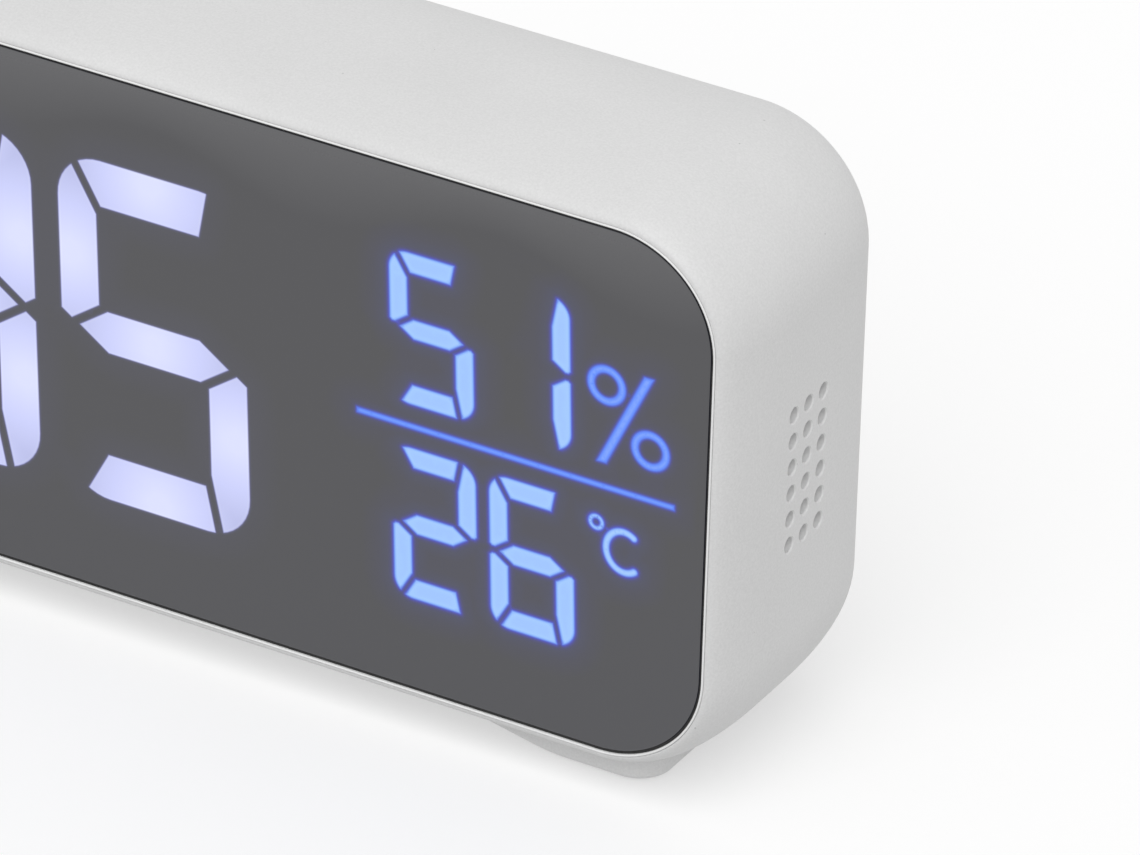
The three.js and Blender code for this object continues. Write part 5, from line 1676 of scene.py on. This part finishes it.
def door_mesh():
    """The plate with its scoop and tabs."""
    bm = bmesh.new()
    turns = [-QUARTER + math.pi * i / DOOR_LEVELS for i in range(DOOR_LEVELS + 1)]
    levels = [door_level(turn) for turn in turns]
    stack(bm, [at_depth(loop, y) for loop, y in levels])
    flat_cap(bm, HINGE_Y - DOOR_T / 2, [subdivide(levels[0][0], UNSPLIT)])
    bowl = [scoop_level(1 - i / SCOOP_LEVELS) for i in range(SCOOP_LEVELS + 1)]
    stack(bm, [at_depth(loop, y) for loop, y in bowl])
    flat_cap(bm, bowl[-1][1], [subdivide(bowl[-1][0], UNSPLIT)])
    rims = [subdivide(loop, UNSPLIT) for loop in (levels[-1][0], door_level(QUARTER, SUPPORT)[0])]
    flat_cap(bm, BACK_Y, rims, [subdivide(bowl[0][0], UNSPLIT)])
    for side in (-1, 1):
        add_tab(bm, side * TAB_X)
    return bm


def add_tab(bm, x):
    """A hooked tab under the door's lower edge."""
    root = HINGE_Y - TAB_LAP
    outline = [
        (root, DOOR_BOTTOM + TAB_ROOT),
        (TAB_BACK_Y, DOOR_BOTTOM + TAB_ROOT),
        (TAB_BACK_Y, door_lo.z),
        (TAB_BACK_Y + TAB_T, door_lo.z),
        (TAB_BACK_Y + TAB_T, HINGE_Z),
        (root, HINGE_Z),
    ]
    ends = [[(x + side * TAB_W / 2, y, z) for y, z in outline] for side in (-1, 1)]
    band(bm, *ends)
    for end in ends:
        bm.faces.new([bm.verts.new(p) for p in end])


door_plate = piece_from(door_mesh(), "door_plate", CASE_WHITE)
dress(door_plate, "door", "white_plastic", "battery_door")

# %% Set the ribs into the thumb scoop
RIB_COUNT = 4
RIB_PITCH = 1.3 * MM
RIB_SIZE = (8.6 * MM, 1.1 * MM, 0.5 * MM)
RIB_LIFT = 0.05 * MM
RIB_SOFT = 0.12 * MM
RIB_SEGMENTS = 2


def row_of_bars(name, spots, size, material):
    """Bars of one size at some points, set by a node tree, as one object."""
    tree = geometry_tree(f"{name}_row", {"Bar": size})
    given = tree.nodes.new("NodeGroupInput").outputs
    bar = shape_node(tree, "MeshCube", Size=given["Bar"])
    placed = shape_node(tree, "InstanceOnPoints", Points=given["Geometry"], Instance=bar)
    end_tree(tree, placed, material)
    return run_tree(name, guide_points(f"{name}_spots", spots), tree, {"Bar": size})


rib_y = BACK_Y - SCOOP_DEPTH + RIB_LIFT
rib_spots = [(0, rib_y, scoop_z + rise) for rise in centred(RIB_COUNT, RIB_PITCH)]
door_ribs = row_of_bars("door_ribs", rib_spots, RIB_SIZE, CASE_WHITE)
soften = door_ribs.modifiers.new("soften", "BEVEL")
soften.width = RIB_SOFT
soften.segments = RIB_SEGMENTS
soften.limit_method = "NONE"
keep_result(door_ribs)
shade(door_ribs.data)
dress(door_ribs, "door", "white_plastic")

# %% [markdown]
# ## The keys
# Each key is a pill-shaped cap with a flange that keeps it behind the cover and a stem on its switch.
# A plain raised sign tells the keys apart by touch: bars, a ring, two arrows and a bell. The signs are
# symmetrical, so they read the same from behind.

# %% Build one key
SIGN_H = 0.12 * MM
KEY_EDGE = 0.55 * MM
KEY_ROUNDS = 6
KEY_STEPS = 12
FLANGE_RIM = 1.2 * MM
FLANGE_T = 1.5 * MM
STEM_R = 2.2 * MM


def key_mesh(node):
    """Cap, flange and stem of one key, from its packed box."""
    low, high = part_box(node)
    x, z = (low.x + high.x) / 2, (low.z + high.z) / 2
    face, flange_y = high.y - SIGN_H, INNER_Y - CLEARANCE
    under = flange_y - FLANGE_T
    pill = (x, z, *KEY_HALF, KEY_HALF[1])
    flange = (x, z, KEY_HALF[0] + FLANGE_RIM, KEY_HALF[1] + FLANGE_RIM, KEY_HALF[1] + FLANGE_RIM)
    stem = round_hole(x, z, STEM_R)
    bm = bmesh.new()
    top = soft_rim(pill, face, KEY_EDGE, KEY_ROUNDS, KEY_STEPS)
    levels = ((pill, flange_y), (flange, flange_y), (flange, under))
    stack(bm, [*top, *(ring_at(shape, y, 0, KEY_STEPS) for shape, y in levels)])
    flat_cap(bm, face, [hole_loop(pill, -KEY_EDGE, KEY_STEPS)])
    flat_cap(bm, under, [hole_loop(flange, 0, KEY_STEPS)], [hole_loop(stem)])
    stack(bm, rings_at((stem, under), (stem, low.y)))
    flat_cap(bm, low.y, [hole_loop(stem)])
    return bm, (x, face, z)


print("keys", KEYS)

# %% Draw the signs of the keys in millimetres
ARROW = ((-1.25, -0.75), (1.25, -0.75), (0, 1.05))
RING = (1.1, 0.65, 28)
BARS = (-0.85, 0, 0.85)
BAR = (1.4, 0.22, 0.2, 3)
BELL_FOOT = ((-1.35, -0.75), (1.35, -0.75))
BELL_RISE = 0.15
BELL_STEPS = 12
CLAPPER = (0, -1.12, 0.26, 14)
SIGN_UNSPLIT = 9.0


def sign_outlines(name):
    """Outlines of a key's sign round the middle of its cap, each with its hole if any."""
    if name in ("up", "down"):
        way = 1 if name == "up" else -1
        return [([(u, v * way) for u, v in ARROW], None)]
    if name == "set":
        outer, inner, steps = RING
        return [(ring_points(0, 0, outer, steps), ring_points(0, 0, inner, steps))]
    if name == "mode":
        return [(rounded_loop(0, rise, *BAR), None) for rise in BARS]
    turns = [math.pi * i / BELL_STEPS for i in range(BELL_STEPS + 1)]
    bell = [*BELL_FOOT, *((math.cos(t), BELL_RISE + math.sin(t)) for t in turns)]
    return [(bell, None), (ring_points(*CLAPPER), None)]


def add_sign(bm, name, middle):
    """A low raised sign on a key's cap."""
    x, face, z = middle
    ends = (face - SIGN_H, face + SIGN_H)
    for outlines in sign_outlines(name):
        fine = [subdivide(loop, SIGN_UNSPLIT) for loop in outlines if loop]
        loops = [[(x + u * MM, z + v * MM) for u, v in loop] for loop in fine]
        for loop in loops:
            band(bm, *(at_depth(loop, y) for y in ends))
        for y in ends:
            flat_cap(bm, y, loops[:1], loops[1:])


print("signs", {name: len(sign_outlines(name)) for name in KEYS})

# %% Make the five keys
KEY_INK = moulded("key_ink", (grey(0.16), grey(0.19)), (0.5, 0.6))
for name in KEYS:
    bm, middle = key_mesh(f"{name}_key")
    key = piece_from(bm, f"{name}_cap", KEY_WHITE)
    dress(key, f"{name}_button", "key_plastic", f"{name}_key")
    bm = bmesh.new()
    add_sign(bm, name, middle)
    dress(piece_from(bm, f"{name}_sign", KEY_INK), f"{name}_button", "key_plastic")

# %% [markdown]
# ## Screws and pads
# Four screws hold the cover and four rubber pads keep the clock from sliding. Each is turned round an
# axis, so one profile is spun into a mesh, and a node tree sets it at four points. For the screws the
# tree also takes a cross out of the head with two crossed bars.

# %% Turned shapes
HEAD_SIDE = 0.45
HEAD_STEPS = 8


def turned(profile, steps=32):
    """A mesh spun round Z from (radius, height) points that start and end on the axis."""
    bm = bmesh.new()
    turns = full_turn(steps)
    stack(bm, [[(r * math.cos(t), r * math.sin(t), height) for t in turns] for r, height in profile])
    close_mesh(bm)
    return bm


def pan_head(radius, height, length, shank):
    """Profile of a screw from its tip to the top of its domed head, with the seat at height 0."""
    side = HEAD_SIDE * height
    dome = [(radius * math.cos(t), side + (height - side) * math.sin(t)) for t in quarter_turn(HEAD_STEPS)]
    return [(0, -length), (shank, shank - length), (shank, 0), (radius, 0), *dome[:-1], (0, height)]


def crossed_bars(tree, size, height):
    """Two crossed bars at a height."""
    bars = tree.nodes.new("GeometryNodeJoinGeometry")
    for spin in (0, QUARTER):
        bar = shape_node(tree, "MeshCube", Size=size)
        place = {"Translation": (0, 0, height), "Rotation": (0, 0, spin)}
        feed(tree, bars.inputs[0], shape_node(tree, "Transform", Geometry=bar, **place))
    return bars.outputs[0]


def set_out(name, bm, points, turn, material, recess=None):
    """Repeats a turned shape at some points, after taking a cross out of it if asked."""
    pattern = piece_from(bm, f"{name}_pattern", material)
    tree = geometry_tree(f"{name}_row", {})
    spots = tree.nodes.new("NodeGroupInput").outputs["Geometry"]
    made = add_node(tree, "GeometryNodeObjectInfo", Object=pattern).outputs["Geometry"]
    if recess:
        bars = crossed_bars(tree, **recess)
        made = shape_node(tree, "MeshBoolean", CUT, Mesh_1=made, Mesh_2=bars, Self_Intersection=True)
    placed = shape_node(tree, "InstanceOnPoints", Points=spots, Instance=made, Rotation=turn)
    end_tree(tree, placed, material)
    obj = run_tree(name, guide_points(f"{name}_spots", points), tree, {})
    bpy.data.objects.remove(pattern)
    shade(obj.data)
    return obj


print("a screw's profile has", len(pan_head(2, 1, 9, 1)), "points")

# %% Set the cover's screws
SCREW_HEAD_T = 1.5 * MM
SCREW_L = 10.0 * MM
SCREW_SHANK = 1.1 * MM
CROSS = {"size": (2.9 * MM, 0.62 * MM, 1.6 * MM), "height": SCREW_HEAD_T}
head_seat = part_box("cover_screw_1")[1].y - SCREW_HEAD_T
cover_screws = set_out(
    "cover_screws",
    turned(pan_head(SCREW_HEAD_R, SCREW_HEAD_T, SCREW_L, SCREW_SHANK)),
    [(p.x, head_seat, p.z) for p in screw_spots],
    (-QUARTER, 0, 0),
    PLAIN_STEEL,
    CROSS,
)
dress(cover_screws, "housing", "plain_steel", *(f"cover_screw_{i}" for i in range(1, 5)))

# %% Set the pads under the feet
PAD_ROUND = 0.3 * MM
PAD_ROUNDS = 5
PAD_STEPS = 48
PAD_SINK = 0.12 * MM
PAD_RING = (0.55, 0.62)
pad_boxes = [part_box(f"rubber_pad_{i}") for i in range(1, 5)]
pad_r = (pad_boxes[0][1].x - pad_boxes[0][0].x) / 2
pad_t = pad_boxes[0][1].z - pad_boxes[0][0].z
pad_roll = [(pad_r - inset, sink) for inset, sink in round_edge(PAD_ROUND, PAD_ROUNDS)]
pad_ring = [(0, PAD_SINK), (PAD_RING[0] * pad_r, PAD_SINK), (PAD_RING[1] * pad_r, 0)]
pads = set_out(
    "foot_pads",
    turned([*pad_ring, *pad_roll, (pad_r, pad_t), (0, pad_t)], PAD_STEPS),
    [((low.x + high.x) / 2, (low.y + high.y) / 2, low.z) for low, high in pad_boxes],
    (0, 0, 0),
    PAD_RUBBER,
)
dress(pads, "housing", "pad_rubber", *(f"rubber_pad_{i}" for i in range(1, 5)))

# %% [markdown]
# ## The charging inlet
# A thin steel shell with a rolled mouth holds a black tongue. Gold contacts lie on both faces of the
# tongue, set in a row by the same kind of node tree as the ribs of the door.

# %% Build the inlet's shell
INLET_WALL = 0.35 * MM
INLET_DEPTH = 6.5 * MM
INLET_STEPS = 12


def inlet_mesh():
    """The shell: outside, rolled mouth, inside and floor."""
    front, back = inlet_lo.y, inlet_hi.y
    shell = (inlet.x, inlet.z, *inlet_half, inlet_half[1])
    lip = INLET_WALL / 2
    outside = soft_rim(shell, back, lip, steps=INLET_STEPS)
    rolled = round_edge(lip)
    inner = [ring_at(shell, back - sink, inset - INLET_WALL, INLET_STEPS) for inset, sink in rolled]
    bm = bmesh.new()
    stack(bm, [ring_at(shell, front, 0, INLET_STEPS), *reversed(outside)])
    stack(bm, [*inner, ring_at(shell, back - INLET_DEPTH, -INLET_WALL, INLET_STEPS)])
    flat_cap(bm, back - INLET_DEPTH, [hole_loop(shell, -INLET_WALL, INLET_STEPS)])
    flat_cap(bm, front, [hole_loop(shell, 0, INLET_STEPS)])
    return bm


inlet_shell = piece_from(inlet_mesh(), "inlet_shell", PLAIN_STEEL)
dress(inlet_shell, "housing", "plain_steel", "usb_socket")

# %% Build the inlet's tongue and contacts
TONGUE_HALF = (3.3 * MM, 0.35 * MM)
TONGUE_R = 0.6 * TONGUE_HALF[1]
TONGUE_L = 4.6 * MM
TONGUE_EDGE = 0.2 * MM
CONTACT_COUNT = 6
CONTACT_PITCH = 0.95 * MM
CONTACT_SIZE = (0.45 * MM, 3.4 * MM, 0.78 * MM)
CONTACT_GOLD = plated("contact_gold", ((0.72, 0.5, 0.2), (0.8, 0.6, 0.28)), (0.25, 0.35))

tongue = (inlet.x, inlet.z, *TONGUE_HALF, TONGUE_R)
tongue_end = inlet_hi.y - INLET_DEPTH + TONGUE_L
tongue_foot = tongue_end - TONGUE_L
bm = bmesh.new()
stack(bm, [*soft_rim(tongue, tongue_end, TONGUE_EDGE), ring_at(tongue, tongue_foot)])
flat_cap(bm, tongue_end, [hole_loop(tongue, -TONGUE_EDGE)])
flat_cap(bm, tongue_foot, [hole_loop(tongue)])
dress(piece_from(bm, "inlet_tongue", SWITCH_BLACK), "housing", "switch_black")

contact_y = tongue_end - TONGUE_L / 2
contact_spots = [(inlet.x + x, contact_y, inlet.z) for x in centred(CONTACT_COUNT, CONTACT_PITCH)]
inlet_contacts = row_of_bars("inlet_contacts", contact_spots, CONTACT_SIZE, CONTACT_GOLD)
dress(inlet_contacts, "housing", "plain_steel")

# %% [markdown]
# ## The cells and their contacts
# Three cells lie side by side, every second one turned round. A cell is a turned shape: a steel end, a
# printed jacket with one bright band, and the raised nub. Its contacts are steel plates on the end
# walls of the bay: a coil spring meets each flat end and a pressed bump meets each nub. The coil is a
# spiral curve with a round wire, which Geometry Nodes make directly.

# %% Profile of a cell
CELL_ROLL = 0.35 * MM
CELL_BAND = (0.72, 0.94)
END_SINK = 0.2 * MM
END_RING = (0.62, 0.7)
NUB_R = 1.9 * MM
NUB_L = 0.8 * MM
NUB_SINK = 0.15 * MM
NUB_RING = (0.62, 0.58)
STEEL, JACKET, BAND = 0, 1, 2


def cell_profile(radius, length):
    """Points (radius, along, material) from the flat end to the nub."""
    body = length - NUB_L
    rolled = round_edge(CELL_ROLL)
    return [
        (0, END_SINK, STEEL),
        (END_RING[0] * radius, END_SINK, STEEL),
        (END_RING[1] * radius, 0, STEEL),
        (radius - 2 * CELL_ROLL, 0, JACKET),
        *((radius - inset, sink, JACKET) for inset, sink in rolled),
        (radius, CELL_BAND[0] * body, BAND),
        (radius, CELL_BAND[1] * body, JACKET),
        *((radius - inset, body - sink, JACKET) for inset, sink in reversed(rolled)),
        (NUB_RING[0] * radius, body, STEEL),
        (NUB_RING[1] * radius, body - NUB_SINK, STEEL),
        (NUB_R, body - NUB_SINK, STEEL),
        (NUB_R, length - NUB_SINK, STEEL),
        (NUB_R - NUB_SINK, length, STEEL),
        (0, length, STEEL),
    ]


print("a cell's profile has", len(cell_profile(5 * MM, 44 * MM)), "points")

# %% Build the cells
CELL_COUNT = 3
CELL_STEPS = 48
JACKET_COAT = 0.5
JACKET_DEPTH = 0.001 * MM
JACKET_TONES = ((0.05, 0.09, 0.19), (0.065, 0.11, 0.23))
JACKET_BLUE = moulded("jacket_blue", JACKET_TONES, (0.28, 0.36), depth=JACKET_DEPTH)
JACKET_BAND = plated("jacket_band", ((0.6, 0.58, 0.55), (0.7, 0.68, 0.64)), (0.3, 0.4))
jacket_tree = JACKET_BLUE.node_tree
set_inputs(jacket_tree, jacket_tree.nodes["Principled BSDF"], Coat_Weight=JACKET_COAT)


def build_cell(index):
    """One cell in its packed place. The nub points right on every other cell, from the first."""
    low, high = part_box(f"battery_{index + 1}")
    y, z, radius = (low.y + high.y) / 2, (low.z + high.z) / 2, (high.z - low.z) / 2
    way = 1 if index % 2 == 0 else -1
    start = low.x if way > 0 else high.x
    turns = full_turn(CELL_STEPS)
    bm = bmesh.new()
    profile = cell_profile(radius, high.x - low.x)
    rings = []
    for r, along, _ in profile:
        rings.append([(start + way * along, y + r * math.cos(t), z + r * math.sin(t)) for t in turns])
    for (_, _, finish), first, second in zip(profile, rings, rings[1:]):
        before = len(bm.faces)
        band(bm, first, second)
        bm.faces.ensure_lookup_table()
        for face in bm.faces[before:]:
            face.material_index = finish
    cell = piece_from(bm, f"cell_{index + 1}", PLAIN_STEEL, JACKET_BLUE, JACKET_BAND)
    dress(cell, "housing", "cell_jacket", f"battery_{index + 1}")


for index in range(CELL_COUNT):
    build_cell(index)

# %% Build the contact plates
PLATE_T = 0.4 * MM
PLATE_R = 0.8 * MM
PLATE_EDGE = 0.12 * MM
PLATE_ROUNDS = 2
BUMP_R = 2.4 * MM
BUMP_H = 1.6 * MM
BUMP_SINK = 0.2 * MM
BUMP_STEPS = 6
BUMP_SIDES = 24
CONTACT_SIDES = ("left", "right")
CONTACT_KINDS = ("single", "double")
CONTACT_NODES = [f"contact_{kind}_{side}" for side in CONTACT_SIDES for kind in CONTACT_KINDS]
cell_middles = [middle_of(f"battery_{i + 1}") for i in range(CELL_COUNT)]
plates = [(name, *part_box(name)) for name in CONTACT_NODES]
face_x = plates[2][2].x - PLATE_T


def add_plate(bm, name, low, high):
    """A contact plate with softened edges on the end wall of the bay."""
    side = -1 if name.endswith("left") else 1
    wall = low.x if side < 0 else high.x
    half = ((high.y - low.y) / 2, (high.z - low.z) / 2)
    outline = ((low.y + high.y) / 2, (low.z + high.z) / 2, *half, PLATE_R)
    rounds = round_edge(PLATE_EDGE, PLATE_ROUNDS)
    levels = [(wall - side * (PLATE_T - sink), -inset) for inset, sink in rounds]
    levels.append((wall, 0.0))
    stack(bm, [[(x, y, z) for y, z in hole_loop(outline, grow)] for x, grow in levels])
    for x, grow in (levels[0], levels[-1]):
        cap(bm, lambda y, z: (x, y, z), [hole_loop(outline, grow)])


def add_bump(bm, side, middle):
    """A pressed bump on a contact plate, with a flat base just inside the plate."""
    rings = []
    for t in quarter_turn(BUMP_STEPS):
        x = side * (face_x + BUMP_SINK - (BUMP_H + BUMP_SINK) * math.sin(t))
        radius = BUMP_R * math.cos(t)
        ring = [(radius * math.cos(a), radius * math.sin(a)) for a in full_turn(BUMP_SIDES)]
        rings.append([(x, middle.y + u, middle.z + v) for u, v in ring])
    stack(bm, rings)
    bm.faces.new([bm.verts.new(p) for p in rings[0]])


def contact_ends():
    """For every end of every cell: its side, its middle and whether a nub touches there."""
    for index, middle in enumerate(cell_middles):
        for side in (-1, 1):
            nub = side > 0 if index % 2 == 0 else side < 0
            yield side, middle, nub


bm = bmesh.new()
for name, low, high in plates:
    add_plate(bm, name, low, high)
for side, middle, nub in contact_ends():
    if nub:
        add_bump(bm, side, middle)
contact_plates = piece_from(bm, "contact_plates", PLAIN_STEEL)
dress(contact_plates, "housing", "plain_steel", *CONTACT_NODES)

# %% Coil the contact springs
SPRING_TURNS = 3.0
SPRING_STEPS = 20
SPRING_R = (2.5 * MM, 1.3 * MM)
WIRE_R = 0.22 * MM
WIRE_STEPS = 8


def spring_tree(sizes):
    """A tapering coil of round wire at each point of the guide, turned by the guide's own angle."""
    tree = geometry_tree("contact_coils", sizes)
    given = tree.nodes.new("NodeGroupInput").outputs
    ends = {label.replace(" ", "_"): given[label] for label in ("Start Radius", "End Radius", "Height")}
    coil = shape_node(tree, "CurveSpiral", Resolution=SPRING_STEPS, Rotations=SPRING_TURNS, **ends)
    wire = shape_node(tree, "CurvePrimitiveCircle", Resolution=WIRE_STEPS, Radius=given["Wire"])
    tube = shape_node(tree, "CurveToMesh", Curve=coil, Profile_Curve=wire, Fill_Caps=True)
    turn = shape_node(tree, "InputNamedAttribute", {"data_type": "FLOAT_VECTOR"}, Name="turn")
    placed = shape_node(tree, "InstanceOnPoints", Points=given["Geometry"], Instance=tube, Rotation=turn)
    end_tree(tree, placed, PLAIN_STEEL)
    return tree


flat_ends = [(side, middle) for side, middle, nub in contact_ends() if not nub]
spring_guide = guide_points("spring_spots", [(side * (face_x - WIRE_R), m.y, m.z) for side, m in flat_ends])
turns = spring_guide.attributes.new("turn", "FLOAT_VECTOR", "POINT")
turns.data.foreach_set("vector", [angle for side, _ in flat_ends for angle in (0.0, -side * QUARTER, 0.0)])
spring_sizes = {
    "Start Radius": SPRING_R[0],
    "End Radius": SPRING_R[1],
    "Height": BUMP_H - 2 * WIRE_R,
    "Wire": WIRE_R,
}
contact_springs = run_tree("contact_springs", spring_guide, spring_tree(spring_sizes), spring_sizes)
shade(contact_springs.data)
dress(contact_springs, "housing", "plain_steel")

# %% [markdown]
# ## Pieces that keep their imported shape
# Inside the case nothing shows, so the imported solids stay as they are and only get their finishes.

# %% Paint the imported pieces
GREEN_BOARD = moulded("green_board", ((0.02, 0.11, 0.05), (0.035, 0.17, 0.08)), (0.3, 0.45), grain=700.0)
FINISHES = {
    "white_plastic": CASE_WHITE,
    "smoked_mirror": HALF_MIRROR,
    "black_foam": FOAM_BLACK,
    "clear_film": FILM_FROST,
    "dark_plastic": DARK_PLASTIC,
    "green_board": GREEN_BOARD,
    "flex_white": FLEX_WHITE,
    "copper_foil": COPPER_FOIL,
    "key_plastic": KEY_WHITE,
    "switch_black": SWITCH_BLACK,
    "plunger_brown": PLUNGER_BROWN,
    "plain_steel": PLAIN_STEEL,
    "cell_jacket": PLAIN_STEEL,
    "pad_rubber": PAD_RUBBER,
}
for part in frame["record"]["subparts"]:
    node = frame["nodes"][part["node"]]
    node.data.materials.clear()
    node.data.materials.append(FINISHES[part["material_slot"]])
